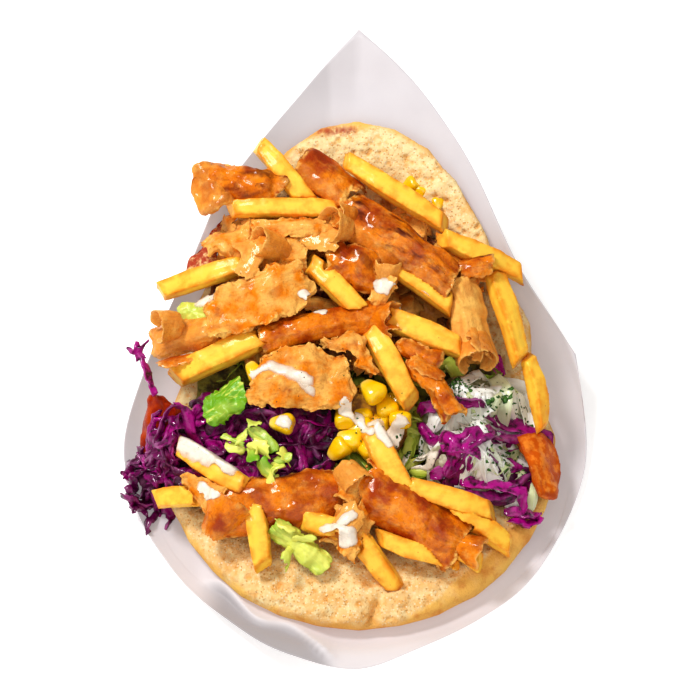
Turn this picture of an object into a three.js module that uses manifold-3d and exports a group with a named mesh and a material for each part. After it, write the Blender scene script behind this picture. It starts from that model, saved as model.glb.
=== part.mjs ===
// A doner kebab sandwich: a round flatbread opened like a clam and heaped with
// salad, shaved meat, chips and sweetcorn, on the sheet of white paper it is served in.
//
// Millimetres. +X is to the right of the eater, +Y towards the raised back flap, +Z up.
// The filling is listed from the top of the heap down: each piece is tucked in at its
// place under the ones before it, and the beds of salad and meat fill the room that is
// left over the bread.
import * as THREE from "three";
import { mergeVertices } from "three/addons/utils/BufferGeometryUtils.js";
import ManifoldModule from "manifold-3d";

// ---- Driving dimensions ----------------------------------------------------

const BREAD = {
  centre: { x: 4, along: -18 }, // middle of the front flap, on the unrolled bread
  halfWidth: 94,
  frontReach: 96, // from that middle to the front rim
  backReach: 161, // and to the tip of the back flap
  thickness: { front: 14, back: 10.5 },
  hingeNotch: { at: 14, depth: 0.09, spread: 14 },
  underside: 1.6, // height of the bottom crust over the table
};
const FOLD = { start: 10, length: 50, angle: THREE.MathUtils.degToRad(40) };
const CUP = { from: -5, to: 95, radius: 98 }; // the back flap is cupped sideways
const PAPER = {
  thickness: 0.5,
  clearance: 1.1,
  curl: 26, // radius to which its sides curl up past the bread
  steepest: 0.95,
  wave: 58,
  backLean: -0.12,
};
const FILL = {
  level: 56, // height of the heap over the table, half way from front to back
  slope: 0.29,
  flat: 35, // the heap is flat sideways out to here
  sideDrop: 0.006,
  lip: -75, // and falls away in front of here
  frontDrop: 0.018,
};
const HEAP_GAP = 1.2; // a heap of small things is kept this much lower than what it bears
const HEAP_EDGE = 3; // thickness of a heap where it runs out
const CHIP = { width: 10.5, height: 9.5 };
const CONTACT_GAP = 0.4; // air left between touching pieces
const FINEST = 0.1; // cut faces are kept no finer than this
const SAME_FACING = 0.98; // cosine above which two faces count as facing one way
const STEEPEST_MITRE = 0.3; // the least such cosine that a swollen corner allows for
const CELL = 1; // grid on which the heap's heights are kept
const HEAP_REACH = 130; // and how far it reaches each way

const ROUND = 32; // facets round the bread and the paper
const BREAD_RINGS = [0, 0.2, 0.34, 0.48, 0.62, 0.76, 0.88]; // shares of the way out to the rim

const manifold = await ManifoldModule();
manifold.setup();
const { Manifold, Mesh } = manifold;
const rad = THREE.MathUtils.degToRad;
const { smoothstep, clamp, lerp } = THREE.MathUtils;

// A smooth wave between -1 and 1 that differs for each seed, for uneven outlines.
// It comes round to where it began after a full turn.
function wobble(seed, t) {
  return (
    0.55 * Math.sin(2 * t + seed * 1.7) +
    0.3 * Math.sin(5 * t + seed * 4.1) +
    0.15 * Math.sin(11 * t + seed * 2.3)
  );
}

// ---- The folded bread surface ------------------------------------------------

// The centre line from front to back: flat on the table, then bent up to the back flap.
function foldLine(along) {
  const turnRadius = FOLD.length / FOLD.angle;
  const turned = clamp((along - FOLD.start) / turnRadius, 0, FOLD.angle);
  const before = Math.min(along, FOLD.start);
  const after = Math.max(0, along - FOLD.start - FOLD.length);
  return {
    y: before + turnRadius * Math.sin(turned) + after * Math.cos(turned),
    z: turnRadius * (1 - Math.cos(turned)) + after * Math.sin(turned),
    angle: turned,
  };
}

// A point given on the unrolled bread (across, along) and by its height over the surface.
function onFlap(across, along, height) {
  const line = foldLine(along);
  const cup = smoothstep(along, CUP.from, CUP.to) / CUP.radius;
  const turned = across * cup;
  const sideways = cup > 1e-6 ? Math.sin(turned) / cup : across;
  const lift = cup > 1e-6 ? (1 - Math.cos(turned)) / cup : 0;
  const out = lift + height * Math.cos(turned);
  return new THREE.Vector3(
    sideways - height * Math.sin(turned),
    line.y - out * Math.sin(line.angle),
    BREAD.underside + line.z + out * Math.cos(line.angle),
  );
}

// The bread's rim in direction `turn` round its middle, on the unrolled bread.
function breadRim(turn) {
  const reach = Math.sin(turn) < 0 ? BREAD.frontReach : BREAD.backReach;
  const uneven = 1 + 0.012 * wobble(3, turn);
  const along = BREAD.centre.along + reach * Math.sin(turn) * uneven;
  const { at, depth, spread } = BREAD.hingeNotch;
  const notch = 1 - depth * Math.exp(-(((along - at) / spread) ** 2));
  const across = BREAD.halfWidth * Math.cos(turn) * notch * uneven;
  return { across: BREAD.centre.x + across, along };
}

// ---- Shaping stock geometry ----------------------------------------------------

function reshape(geometry, place) {
  const position = geometry.attributes.position;
  const point = new THREE.Vector3();
  for (let i = 0; i < position.count; i++) {
    point.fromBufferAttribute(position, i);
    const moved = place(point);
    position.setXYZ(i, moved.x, moved.y, moved.z);
  }
  geometry.computeVertexNormals();
  return geometry;
}

// A round cake of geometry: place(share of the radius, turn, side) gives each point.
// `rings` lists shares of the radius, and side is -1 underneath and 1 on top.
function disc(rings, segments, place) {
  const under = rings.map((r) => new THREE.Vector2(r, -1));
  const over = [...rings].reverse().map((r) => new THREE.Vector2(r, 1));
  const profile = [...under, ...over];
  const cake = new THREE.LatheGeometry(profile, segments);
  // The upper squares are split the same way as those beneath, so the two lie parallel.
  for (let square = 0; square < cake.index.count; square += 6) {
    const [a, b, d, c] = [0, 1, 2, 3].map((k) => cake.index.getX(square + k));
    const upper = a % profile.length >= rings.length;
    if (upper) [a, b, c, c, d, a].forEach((v, k) => cake.index.setX(square + k, v));
  }
  // Rounded, so that the first and last columns fall on exactly the same places.
  const rounded = (value) => Math.round(value * 1e6) / 1e6;
  return reshape(cake, (p) => {
    const share = rounded(Math.hypot(p.x, p.z));
    const turn = share > 0 ? rounded(Math.atan2(-p.z, p.x)) : 0;
    return place(share, turn, p.y);
  });
}

function finish(colour, roughness) {
  return new THREE.MeshStandardMaterial({ color: colour, roughness, metalness: 0 });
}

const LOOKS = {
  paper: finish(0xf2f0f2, 0.6),
  bread: finish(0xe3b878, 0.85),
  chips: finish(0xf0b93c, 0.45),
  paleMeat: finish(0xd6a369, 0.55),
  roastMeat: finish(0xc96a20, 0.4),
  salad: finish(0xb9cc5a, 0.5),
  cabbage: finish(0x7a1560, 0.3),
  onion: finish(0xe8ebdc, 0.35),
  corn: finish(0xf5c518, 0.3),
  tomato: finish(0xc25a1c, 0.3),
};

function named(name, geometry, material) {
  const mesh = new THREE.Mesh(geometry, material);
  mesh.name = name;
  return mesh;
}

// ---- Paper and bread -------------------------------------------------------------

// The sheet's outline, on the unrolled bread: four drawn-up corners, the front one blunt.
const PAPER_OUTLINE = [
  [8, 192],
  [62, 122],
  [98, 54],
  [121, 12],
  [108, -46],
  [82, -92],
  [50, -122],
  [0, -146],
  [-45, -128],
  [-72, -98],
  [-98, -60],
  [-112, -22],
  [-96, 40],
  [-70, 104],
];

// Distance from the bread's middle to the paper's edge in direction `turn`: where that
// ray crosses the straight edge between the corners either side of it.
function paperReach(turn) {
  const corners = PAPER_OUTLINE.map(([across, along]) => {
    const [dx, dy] = [across - BREAD.centre.x, along - BREAD.centre.along];
    return { turn: Math.atan2(dy, dx), reach: Math.hypot(dx, dy) };
  }).sort((a, b) => a.turn - b.turn);
  const next = corners.findIndex((corner) => corner.turn > turn);
  const a = corners.at(next < 0 ? -1 : next - 1);
  const b = corners[Math.max(next, 0)];
  const full = 2 * Math.PI;
  const span = (b.turn - a.turn + full) % full;
  const offset = (turn - a.turn + full) % full;
  const area = a.reach * b.reach * Math.sin(span);
  return area / (a.reach * Math.sin(offset) + b.reach * Math.sin(span - offset));
}

// Past the bread the paper curls up at the sides, runs straight on at the back and,
// at the front, makes a low wave.
function paperCurl(beyond, turn) {
  const front = smoothstep(-Math.sin(turn), 0.62, 0.9);
  const back = smoothstep(Math.sin(turn), 0.35, 0.85);
  const steps = 12;
  let out = 0;
  let up = 0;
  for (let i = 0; i < steps; i++) {
    const s = (beyond * (i + 0.5)) / steps;
    const sides = Math.min(s / PAPER.curl, PAPER.steepest);
    const wave = 0.95 * Math.sin((2 * Math.PI * (s + 3)) / PAPER.wave);
    const slope = lerp(lerp(sides, wave, front), PAPER.backLean, back);
    out += (Math.cos(slope) * beyond) / steps;
    up += (Math.sin(slope) * beyond) / steps;
  }
  return { out, up };
}

// `share` runs from 0 to 1 under the bread, then on to 2 at the paper's edge.
function paperPoint(share, turn, side) {
  const rim = breadRim(turn);
  const toRim = { across: rim.across - BREAD.centre.x, along: rim.along - BREAD.centre.along };
  const inner = Math.hypot(toRim.across, toRim.along);
  const direction = Math.atan2(toRim.along, toRim.across);
  const width = Math.max(paperReach(direction) - inner, 2);
  const { out, up } = paperCurl(Math.max(0, share - 1) * width, direction);
  const radius = Math.min(share, 1) * inner + out;
  const height = up - PAPER.clearance + (side * PAPER.thickness) / 2;
  const across = BREAD.centre.x + radius * Math.cos(direction);
  const along = BREAD.centre.along + radius * Math.sin(direction);
  return onFlap(across, along, height);
}

// The rings under the bread are the bread's own, so that the two lie parallel.
function makePaper() {
  const rings = [...BREAD_RINGS, 1, 1.2, 1.45, 1.7, 2];
  return named("serving_paper", disc(rings, ROUND, paperPoint), LOOKS.paper);
}

function breadPoint(share, turn, side) {
  const rim = breadRim(turn);
  const across = BREAD.centre.x + share * (rim.across - BREAD.centre.x);
  const along = BREAD.centre.along + share * (rim.along - BREAD.centre.along);
  const back = smoothstep(along, 0, 60);
  const thick = lerp(BREAD.thickness.front, BREAD.thickness.back, back);
  // Both faces close in on the rim in a rounded edge.
  const round = Math.sqrt(1 - clamp((share - 0.88) / 0.12, 0, 1) ** 2);
  const height = side < 0 ? 0.45 * (1 - round) : 0.45 + 0.55 * round;
  return onFlap(across, along, height * thick);
}

function makeBread() {
  const rings = [...BREAD_RINGS, 0.95, 0.985, 1];
  return named("flatbread", disc(rings, ROUND, breadPoint), LOOKS.bread);
}

// ---- Heaping ---------------------------------------------------------------------

// The height that the filling is heaped to: it rises towards the back flap, and falls
// away at the sides and over the front lip.
function fillLevel(x, y) {
  const aside = Math.max(0, Math.abs(x) - FILL.flat);
  const ahead = Math.max(0, FILL.lip - y);
  const level = FILL.level + FILL.slope * y;
  return level - FILL.sideDrop * aside * aside - FILL.frontDrop * ahead * ahead;
}

// The heap seen from above or below: the lowest underside or the highest top of what is
// already there, over a grid of small cells.
class Relief {
  constructor(extreme, empty) {
    this.extreme = extreme;
    this.side = Math.ceil((2 * HEAP_REACH) / CELL);
    this.heights = new Float32Array(this.side * this.side).fill(empty);
  }

  index(x, y) {
    const column = clamp(Math.floor((x + HEAP_REACH) / CELL), 0, this.side - 1);
    const row = clamp(Math.floor((y + HEAP_REACH) / CELL), 0, this.side - 1);
    return row * this.side + column;
  }

  near(x, y, radius = CELL) {
    let height = this.heights[this.index(x, y)];
    const cells = Math.ceil(radius / CELL) * CELL;
    for (let dx = -cells; dx <= cells; dx += CELL)
      for (let dy = -cells; dy <= cells; dy += CELL)
        height = this.extreme(height, this.heights[this.index(x + dx, y + dy)]);
    return height;
  }

  add(mesh) {
    eachSurfacePoint(mesh, (p) => {
      const at = this.index(p.x, p.y);
      this.heights[at] = this.extreme(this.heights[at], p.z);
    });
  }
}

// Visits points all over a mesh's faces, closer together than the grid's cells.
function eachSurfacePoint(mesh, visit) {
  mesh.updateMatrixWorld(true);
  const { index, attributes } = mesh.geometry;
  const corners = [new THREE.Vector3(), new THREE.Vector3(), new THREE.Vector3()];
  const [a, b, c] = corners;
  const point = new THREE.Vector3();
  for (let i = 0; i < index.count; i += 3) {
    corners.forEach((corner, k) => {
      corner.fromBufferAttribute(attributes.position, index.getX(i + k));
      corner.applyMatrix4(mesh.matrixWorld);
    });
    const longest = Math.max(a.distanceTo(b), b.distanceTo(c), c.distanceTo(a));
    const steps = Math.ceil(longest / (0.8 * CELL));
    for (let u = 0; u <= steps; u++)
      for (let v = 0; v <= steps - u; v++) {
        point.set(0, 0, 0);
        point.addScaledVector(a, u / steps);
        point.addScaledVector(b, v / steps);
        point.addScaledVector(c, (steps - u - v) / steps);
        visit(point);
      }
  }
}

const sandwich = new THREE.Group();
const covering = new Relief(Math.min, Infinity); // undersides of the pieces heaped so far
const floor = new Relief(Math.max, 0); // the top of the bread
const heaped = []; // their solids, swollen by the gap that is left round them

// A mesh as a solid, with its faces moved outwards by `swelling`.
function solidOf(mesh, swelling = 0) {
  const bare = new THREE.BufferGeometry();
  bare.setAttribute("position", mesh.geometry.attributes.position.clone());
  bare.setIndex(mesh.geometry.index);
  mesh.updateMatrixWorld(true);
  const skin = mergeVertices(bare.applyMatrix4(mesh.matrixWorld), 1e-3);
  const { position } = skin.attributes;
  const triVerts = new Uint32Array(skin.index.array);
  const corners = Array.from({ length: position.count }, (_, i) => ({
    at: new THREE.Vector3().fromBufferAttribute(position, i),
    facings: [], // of the faces that meet there, each direction once
  }));
  for (let i = 0; i < triVerts.length; i += 3) {
    const around = [0, 1, 2].map((k) => corners[triVerts[i + k]]);
    const facing = new THREE.Triangle(...around.map(({ at }) => at)).getNormal(new THREE.Vector3());
    for (const { facings } of around)
      if (facings.every((other) => other.dot(facing) < SAME_FACING)) facings.push(facing);
  }
  corners.forEach(({ at, facings }, i) => {
    const outward = new THREE.Vector3();
    facings.forEach((facing) => outward.add(facing));
    outward.normalize();
    const lean = Math.min(...facings.map((facing) => facing.dot(outward)));
    at.addScaledVector(outward, swelling / Math.max(lean, STEEPEST_MITRE));
    position.setXYZ(i, at.x, at.y, at.z);
  });
  const solid = new Manifold(new Mesh({ numProp: 3, vertProperties: position.array, triVerts }));
  return { solid, bounds: new THREE.Box3().setFromBufferAttribute(position) };
}

// Presses a mesh against its neighbours: what they already fill is cut away from it.
function press(mesh) {
  const { solid, bounds } = solidOf(mesh);
  const neighbours = heaped.filter((other) => other.bounds.intersectsBox(bounds));
  const pressed = neighbours.reduce((left, other) => left.subtract(other.solid), solid);
  if (pressed.volume() > solid.volume() - 0.001) return;
  const bodies = pressed.simplify(FINEST).decompose();
  const largest = bodies.sort((p, q) => q.volume() - p.volume())[0];
  const { numProp, vertProperties, triVerts } = largest.getMesh();
  const cut = new THREE.BufferGeometry();
  const corners = new THREE.Float32BufferAttribute(vertProperties, numProp);
  cut.setAttribute("position", corners);
  cut.setIndex(new THREE.BufferAttribute(triVerts, 1));
  cut.applyMatrix4(mesh.matrixWorld.clone().invert());
  cut.computeVertexNormals();
  mesh.geometry = cut;
}

function add(mesh) {
  const swollen = solidOf(mesh, CONTACT_GAP);
  press(mesh);
  heaped.push(swollen);
  covering.add(mesh);
  sandwich.add(mesh);
}

// Puts a piece in the heap at its heading, sloping as the heap does, with its top at the
// fill level or `raise` above it.
function tuck(mesh, { x, y, heading, raise = 0, lean = 0, roll = 0 }) {
  const step = 4;
  const turn = rad(heading);
  const [cos, sin] = [Math.cos(turn), Math.sin(turn)];
  const rise = (dx, dy) =>
    (fillLevel(x + dx, y + dy) - fillLevel(x - dx, y - dy)) / (2 * step);
  const slopeAlong = rise(step * cos, step * sin);
  const slopeAcross = rise(-step * sin, step * cos);
  mesh.rotation.order = "ZYX";
  mesh.rotation.set(
    Math.atan(slopeAcross) + rad(roll),
    -Math.atan(slopeAlong) - rad(lean),
    turn,
  );
  mesh.position.set(x, y, fillLevel(x, y) + raise);
  add(mesh);
}

// ---- Heaps of small things -------------------------------------------------------

// A heap of small things: a mound with an uneven rim, `deep` thick in its middle, that
// fills the room between the bread and whatever lies over it.
function heap(name, material, { x, y, long, wide, heading = 0, raise, deep }) {
  const seed = name.length;
  const facets = long > 100 ? 20 : 14;
  const rings = long > 100 ? [0, 0.3, 0.55, 0.76, 0.92, 1] : [0, 0.4, 0.75, 1];
  const reach = Math.ceil((0.3 * Math.max(long, wide)) / 2);
  const turned = rad(heading);
  const body = disc(rings, facets, (share, turn, side) => {
    const out = share * (1 + 0.08 * wobble(seed, turn));
    const along = (long / 2) * out * Math.cos(turn);
    const across = (wide / 2) * out * Math.sin(turn);
    const px = x + along * Math.cos(turned) - across * Math.sin(turned);
    const py = y + along * Math.sin(turned) + across * Math.cos(turned);
    const uneven = 1.2 * wobble(seed + 1, px / 9) + 1.2 * wobble(seed + 2, py / 9);
    const fall = 0.35 * deep * share ** 4;
    const wanted = fillLevel(px, py) + raise + uneven - fall;
    const bread = floor.near(px, py, 2 * CELL) + HEAP_GAP;
    const top = Math.min(wanted, covering.near(px, py, reach) - HEAP_GAP);
    const bottom = Math.max(bread, fillLevel(px, py) + raise - deep);
    const thin = HEAP_EDGE * (1 - 0.5 * share);
    const roof = Math.max(top, bread + thin);
    return new THREE.Vector3(px, py, side > 0 ? roof : Math.min(bottom, roof - thin));
  });
  add(named(name, body, material));
}

// ---- Chips -----------------------------------------------------------------------

// A chip is a bar of potato with slanting ends and a slight bend along its length.
function chip(name, { length, width = 1, slant = 0.35, bend = 1.5, ...place }) {
  const wide = CHIP.width * width;
  const high = CHIP.height * width;
  const bar = new THREE.BoxGeometry(length, wide, high, 3, 2, 2);
  reshape(bar, (p) => {
    const side = (2 * p.y) / wide;
    const level = (2 * p.z) / high;
    const end = (2 * p.x) / length;
    const soft = 1 - 0.14 * side * side * level * level;
    const narrow = soft * (1 - 0.16 * end * end);
    const lengthened = 0.5 * slant * wide * (side * end * end + level * end * Math.abs(end));
    const arch = bend * (1 - end * end) - bend / 2;
    const top = high / 2;
    return new THREE.Vector3(p.x - lengthened, p.y * narrow, p.z * narrow + arch - top);
  });
  tuck(named(name, bar, LOOKS.chips), place);
}

// ---- Meat ------------------------------------------------------------------------

// The curled section of a shaving, with its middle at the origin and at the top: it
// curls over by `curl` degrees in all, tighter towards one edge if it is rolled up.
function curledSection(width, curl, tighten) {
  const steps = 96;
  const line = [new THREE.Vector2()];
  for (let i = 0; i < steps; i++) {
    const share = (i + 0.5) / steps;
    const eased = ((1 + tighten) * share) / (1 + tighten * share);
    const slope = rad(curl) * (0.5 - eased);
    const stride = new THREE.Vector2(Math.cos(slope), Math.sin(slope));
    line.push(line[i].clone().addScaledVector(stride, width / steps));
  }
  const centre = line.reduce((sum, p) => sum + p.x, 0) / line.length;
  const top = curl > 0 ? Math.max(...line.map((p) => p.y)) : line[steps / 2].y;
  return (share) => {
    const point = line[Math.round(clamp(share, 0, 1) * steps)];
    return { y: point.x - centre, z: point.y - top };
  };
}

// A shaving of meat cut from the spit: a thin sheet, curled across its width, bent and
// twisted along its length, with torn edges.
function shaving(name, material, shape) {
  const { length, width, thick = 2.6, curl = 40, tighten = 0 } = shape;
  const { bend = 10, twist = 0, taper = 0, ragged = 1.6, ...place } = shape;
  const across = curl > 150 ? 9 : 5;
  const along = 4;
  const seed = place.x + 2 * place.y;
  const section = curledSection(width, curl, tighten);
  // Its middle surface, by rows along and columns across.
  const middle = (i, j) => {
    const u = i / along - 0.5;
    const v = j / across;
    const tornEnd = i % along === 0 ? ragged * wobble(seed, 3 * v) : 0;
    const tornSide = j % across === 0 ? (ragged / width) * wobble(seed + 5, 7 * u) : 0;
    const cut = section(v + tornSide);
    const size = 1 + 2 * taper * u;
    const turned = rad(twist) * u;
    const sag = length * rad(bend) * u * u * 0.5;
    return new THREE.Vector3(
      u * length + Math.sign(u) * tornEnd,
      size * (cut.y * Math.cos(turned) - cut.z * Math.sin(turned)),
      size * (cut.y * Math.sin(turned) + cut.z * Math.cos(turned)) - sag - thick / 2,
    );
  };
  const sheet = new THREE.BoxGeometry(along, across, thick, along, across, 1);
  reshape(sheet, (p) => {
    const i = Math.round(p.x + along / 2);
    const j = Math.round(p.y + across / 2);
    const [ahead, behind] = [Math.min(i + 1, along), Math.max(i - 1, 0)];
    const [left, right] = [Math.min(j + 1, across), Math.max(j - 1, 0)];
    const lengthways = middle(ahead, j).sub(middle(behind, j));
    const sideways = middle(i, left).sub(middle(i, right));
    const outward = lengthways.cross(sideways).normalize();
    return middle(i, j).addScaledVector(outward, p.z);
  });
  tuck(named(name, sheet, material), place);
}

// ---- Salad and sweetcorn ---------------------------------------------------------

// A scrap of lettuce or a slice of tomato is cut as thin and curls as little.
function scrap(name, material, shape) {
  shaving(name, material, { thick: 1.6, curl: 60, ragged: 3, ...shape });
}

// One kernel: a rounded wedge, broad at the crown.
function kernel(name, { size = 9.5, ...place }) {
  const body = new THREE.SphereGeometry(size / 2, 10, 7);
  reshape(body, (p) => {
    const broad = 0.86 + (0.2 * p.y) / (size / 2);
    return new THREE.Vector3(1.12 * p.y, -broad * p.x, 0.78 * broad * p.z - 0.4 * size);
  });
  tuck(named(name, body, LOOKS.corn), place);
}

// ---- The sandwich, from the bread up and then from the top down --------------------

for (const base of [makePaper(), makeBread()]) {
  heaped.push(solidOf(base, CONTACT_GAP));
  floor.add(base);
  sandwich.add(base);
}

// The top layer.
shaving("meat_roll_top", LOOKS.roastMeat, {
  x: 22, y: 50, heading: -35, length: 64, width: 74, curl: 370, tighten: 0.6, taper: -0.08,
  raise: 4,
});
shaving("meat_roll_mid", LOOKS.roastMeat, {
  x: -12, y: 14, heading: 12, length: 62, width: 44, thick: 2.4, curl: 370, tighten: 0.7,
});
shaving("meat_leaf", LOOKS.paleMeat, {
  x: -42, y: 25, heading: 22, length: 54, width: 26, thick: 2.4, curl: -55, twist: 25,
});
shaving("meat_roll_right", LOOKS.paleMeat, {
  x: 57, y: 19, heading: -74, length: 38, width: 58, curl: 385, tighten: 0.6, taper: 0.12,
  raise: 1,
});
shaving("meat_slab_mid", LOOKS.paleMeat, {
  x: -21, y: -10, heading: -6, length: 44, width: 34, thick: 3, curl: 45, ragged: 2.5,
});
shaving("meat_slab_front", LOOKS.roastMeat, {
  x: -32, y: -64, heading: 6, length: 62, width: 32, thick: 3, curl: 130, bend: 50,
});
shaving("meat_fold_front", LOOKS.paleMeat, {
  x: 1, y: -58, heading: 70, length: 20, width: 22, curl: 140,
});
shaving("meat_roll_front", LOOKS.roastMeat, {
  x: 26, y: -70, heading: -32, length: 56, width: 34, thick: 3, curl: 160, raise: 2,
});
chip("chip_front_top", { x: 18, y: -50, heading: -64, length: 44, width: 1.25 });
chip("chip_front_long", { x: 44, y: -63, heading: -13, length: 42, width: 1.1 });
chip("chip_sauced", { x: -64, y: -47, heading: -37, length: 42, width: 1.1 });
chip("chip_left_mid", { x: -62, y: 2, heading: 16, length: 46, width: 1.2 });
chip("chip_left_top", { x: -70, y: 40, heading: 4, length: 46 });
chip("chip_mid_low", { x: 18, y: -3, heading: -60, length: 40, width: 1.15 });
chip("chip_mid_long", { x: 33, y: 11, heading: -22, length: 40, width: 1.15 });
shaving("meat_fold_back", LOOKS.roastMeat, {
  x: -11, y: 82, heading: -36, length: 33, width: 30, thick: 2.8, curl: 210,
});
chip("chip_back_flat", { x: -30, y: 68, heading: -1, length: 52, width: 0.95 });

// Tucked under those.
shaving("meat_cube", LOOKS.roastMeat, {
  x: 2, y: 42, heading: -6, length: 28, width: 32, thick: 3.2, curl: 110,
});
shaving("meat_ribbon", LOOKS.paleMeat, {
  x: -33, y: 49, heading: -4, length: 27, width: 40, curl: 290, tighten: 0.5,
});
shaving("meat_flake_wide", LOOKS.paleMeat, {
  x: -26, y: 57, heading: -8, length: 36, width: 16, curl: 40, twist: 10, raise: -1,
});
shaving("meat_flake_left", LOOKS.paleMeat, {
  x: -52, y: 53, heading: 30, length: 28, width: 24, curl: 50, twist: -15, raise: -3,
});
shaving("meat_slab_back", LOOKS.roastMeat, {
  x: -56, y: 75, heading: -14, length: 44, width: 30, thick: 3, curl: 95, raise: 1,
});
chip("chip_back_left", { x: -30, y: 84, heading: -50, length: 40 });
chip("chip_back_right", { x: 21, y: 76, heading: -33, length: 56 });
chip("chip_side_top", { x: 63, y: 49, heading: -14, length: 43, raise: -1 });
chip("chip_side_back", { x: 75, y: 24, heading: -72, length: 44 });
chip("chip_mid_right", { x: 31, y: 35, heading: -38, length: 42, width: 1.1 });
shaving("meat_scrap", LOOKS.paleMeat, {
  x: 15, y: 31, heading: 20, length: 14, width: 14, curl: 90, thick: 2,
});
chip("chip_under_flake", {
  x: -16, y: 58, heading: 8, length: 36, width: 0.8, raise: -5,
});
shaving("meat_half_roll_left", LOOKS.roastMeat, {
  x: -70, y: 14, heading: -4, length: 50, width: 26, thick: 3, curl: 190,
});
chip("chip_mid_back", { x: -5, y: 30, heading: -44, length: 40, width: 1.05 });
shaving("meat_strip_mid", LOOKS.paleMeat, {
  x: 0, y: 3, heading: -34, length: 32, width: 15, curl: 120,
});
shaving("meat_fold_small", LOOKS.roastMeat, {
  x: 33, y: 2, heading: -28, length: 22, width: 18, curl: 170,
});
shaving("meat_strip_low", LOOKS.roastMeat, {
  x: 38, y: -13, heading: -56, length: 36, width: 14, curl: 130,
});
kernel("corn_single_left", { x: -45, y: -8, heading: 30, lean: 20 });
kernel("corn_single_front", { x: -31, y: -32, heading: 80, lean: 20, size: 11 });
scrap("lettuce_middle", LOOKS.salad, { x: -58, y: -18, heading: 30, length: 22, width: 17 });
scrap("lettuce_corn", LOOKS.salad, { x: -41, y: -42, heading: -40, length: 24, width: 16 });
shaving("meat_strip_sauced", LOOKS.paleMeat, {
  x: -64, y: -61, heading: -50, length: 32, width: 13, curl: 60,
});
shaving("meat_flake_front", LOOKS.paleMeat, {
  x: 1, y: -74, heading: 55, length: 26, width: 20, curl: 50, twist: 20, ragged: 2.4,
});
chip("chip_side_onion", { x: 88, y: -8, heading: -78, length: 34, width: 0.8 });
scrap("tomato_left", LOOKS.tomato, {
  x: -89, y: -26, heading: 80, length: 30, width: 20, thick: 4, ragged: 1, lean: 25,
});
scrap("tomato_right", LOOKS.tomato, {
  x: 90, y: -40, heading: 100, length: 32, width: 22, thick: 4, ragged: 1, lean: -20,
});
scrap("lettuce_left", LOOKS.salad, { x: -72, y: 26, heading: 20, length: 24, width: 18 });
scrap("lettuce_front", LOOKS.salad, { x: -22, y: -84, heading: -35, length: 32, width: 14 });

// The chips that hang over the front flap.
chip("chip_front_right", { x: 58, y: -73, heading: -27, length: 36 });
chip("chip_front_pair", { x: 45, y: -82, heading: -30, length: 34 });
chip("chip_front_low", { x: 30, y: -86, heading: -14, length: 36, width: 0.9 });
chip("chip_front_tip", { x: 11, y: -90, heading: -46, length: 38 });
chip("chip_front_mid", { x: -8, y: -76, heading: -14, length: 30 });
chip("chip_front_drop", { x: -41, y: -78, heading: -80, length: 30 });
chip("chip_front_left", { x: -76, y: -58, heading: -8, length: 34 });

heap("corn_heap", LOOKS.corn, {
  x: 10, y: -25, long: 38, wide: 26, heading: -35, raise: -1, deep: 12,
});
heap("cabbage_left", LOOKS.cabbage, {
  x: -50, y: -31, long: 100, wide: 54, heading: 6, raise: -2, deep: 15,
});
heap("cabbage_right", LOOKS.cabbage, {
  x: 62, y: -44, long: 62, wide: 32, heading: 12, raise: -1, deep: 8,
});
heap("onion_heap", LOOKS.onion, { x: 60, y: -26, long: 62, wide: 58, raise: -5, deep: 14 });
heap("meat_bed", LOOKS.paleMeat, { x: -6, y: 40, long: 122, wide: 74, raise: -10, deep: 16 });
heap("salad_bed", LOOKS.salad, { x: 2, y: -8, long: 150, wide: 124, raise: -14, deep: 60 });

// The origin is under the middle of the whole, on the table.
const bounds = new THREE.Box3().setFromObject(sandwich, true);
const centre = bounds.getCenter(new THREE.Vector3());
sandwich.position.set(-centre.x, -centre.y, -bounds.min.z);

export default sandwich;
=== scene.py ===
"""Doner kebab sandwich: the cooked and dressed food, built over its fixed frame."""

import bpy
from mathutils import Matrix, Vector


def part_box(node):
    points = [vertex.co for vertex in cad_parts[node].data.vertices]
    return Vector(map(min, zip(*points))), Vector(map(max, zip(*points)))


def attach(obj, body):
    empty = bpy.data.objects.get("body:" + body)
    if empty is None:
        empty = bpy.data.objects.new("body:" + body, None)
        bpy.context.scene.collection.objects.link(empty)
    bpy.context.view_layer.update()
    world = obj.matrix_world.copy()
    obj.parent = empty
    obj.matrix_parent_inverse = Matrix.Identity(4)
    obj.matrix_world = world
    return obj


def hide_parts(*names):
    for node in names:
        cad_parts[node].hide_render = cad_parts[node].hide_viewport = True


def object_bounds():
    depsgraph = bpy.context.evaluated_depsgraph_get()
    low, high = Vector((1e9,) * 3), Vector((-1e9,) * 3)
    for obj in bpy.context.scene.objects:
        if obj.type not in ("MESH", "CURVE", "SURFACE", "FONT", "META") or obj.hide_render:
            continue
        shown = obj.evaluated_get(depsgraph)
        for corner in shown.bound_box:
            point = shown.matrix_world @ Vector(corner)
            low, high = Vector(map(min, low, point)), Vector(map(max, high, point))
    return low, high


bl_info = {
    "name": "Doner kebab sandwich",
    "version": (1, 0, 0),
    "blender": (4, 5, 0),
    "location": "3D View > Sidebar > Doner",
    "description": "Builds a doner kebab sandwich with its filling, sauce and serving paper",
    "category": "Add Mesh",
}

import math
import random
from functools import partial

import bmesh
import bpy
import numpy as np
from bpy.props import FloatProperty, FloatVectorProperty, IntProperty, PointerProperty
from mathutils import Vector
from mathutils.bvhtree import BVHTree
from mathutils.kdtree import KDTree

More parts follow.
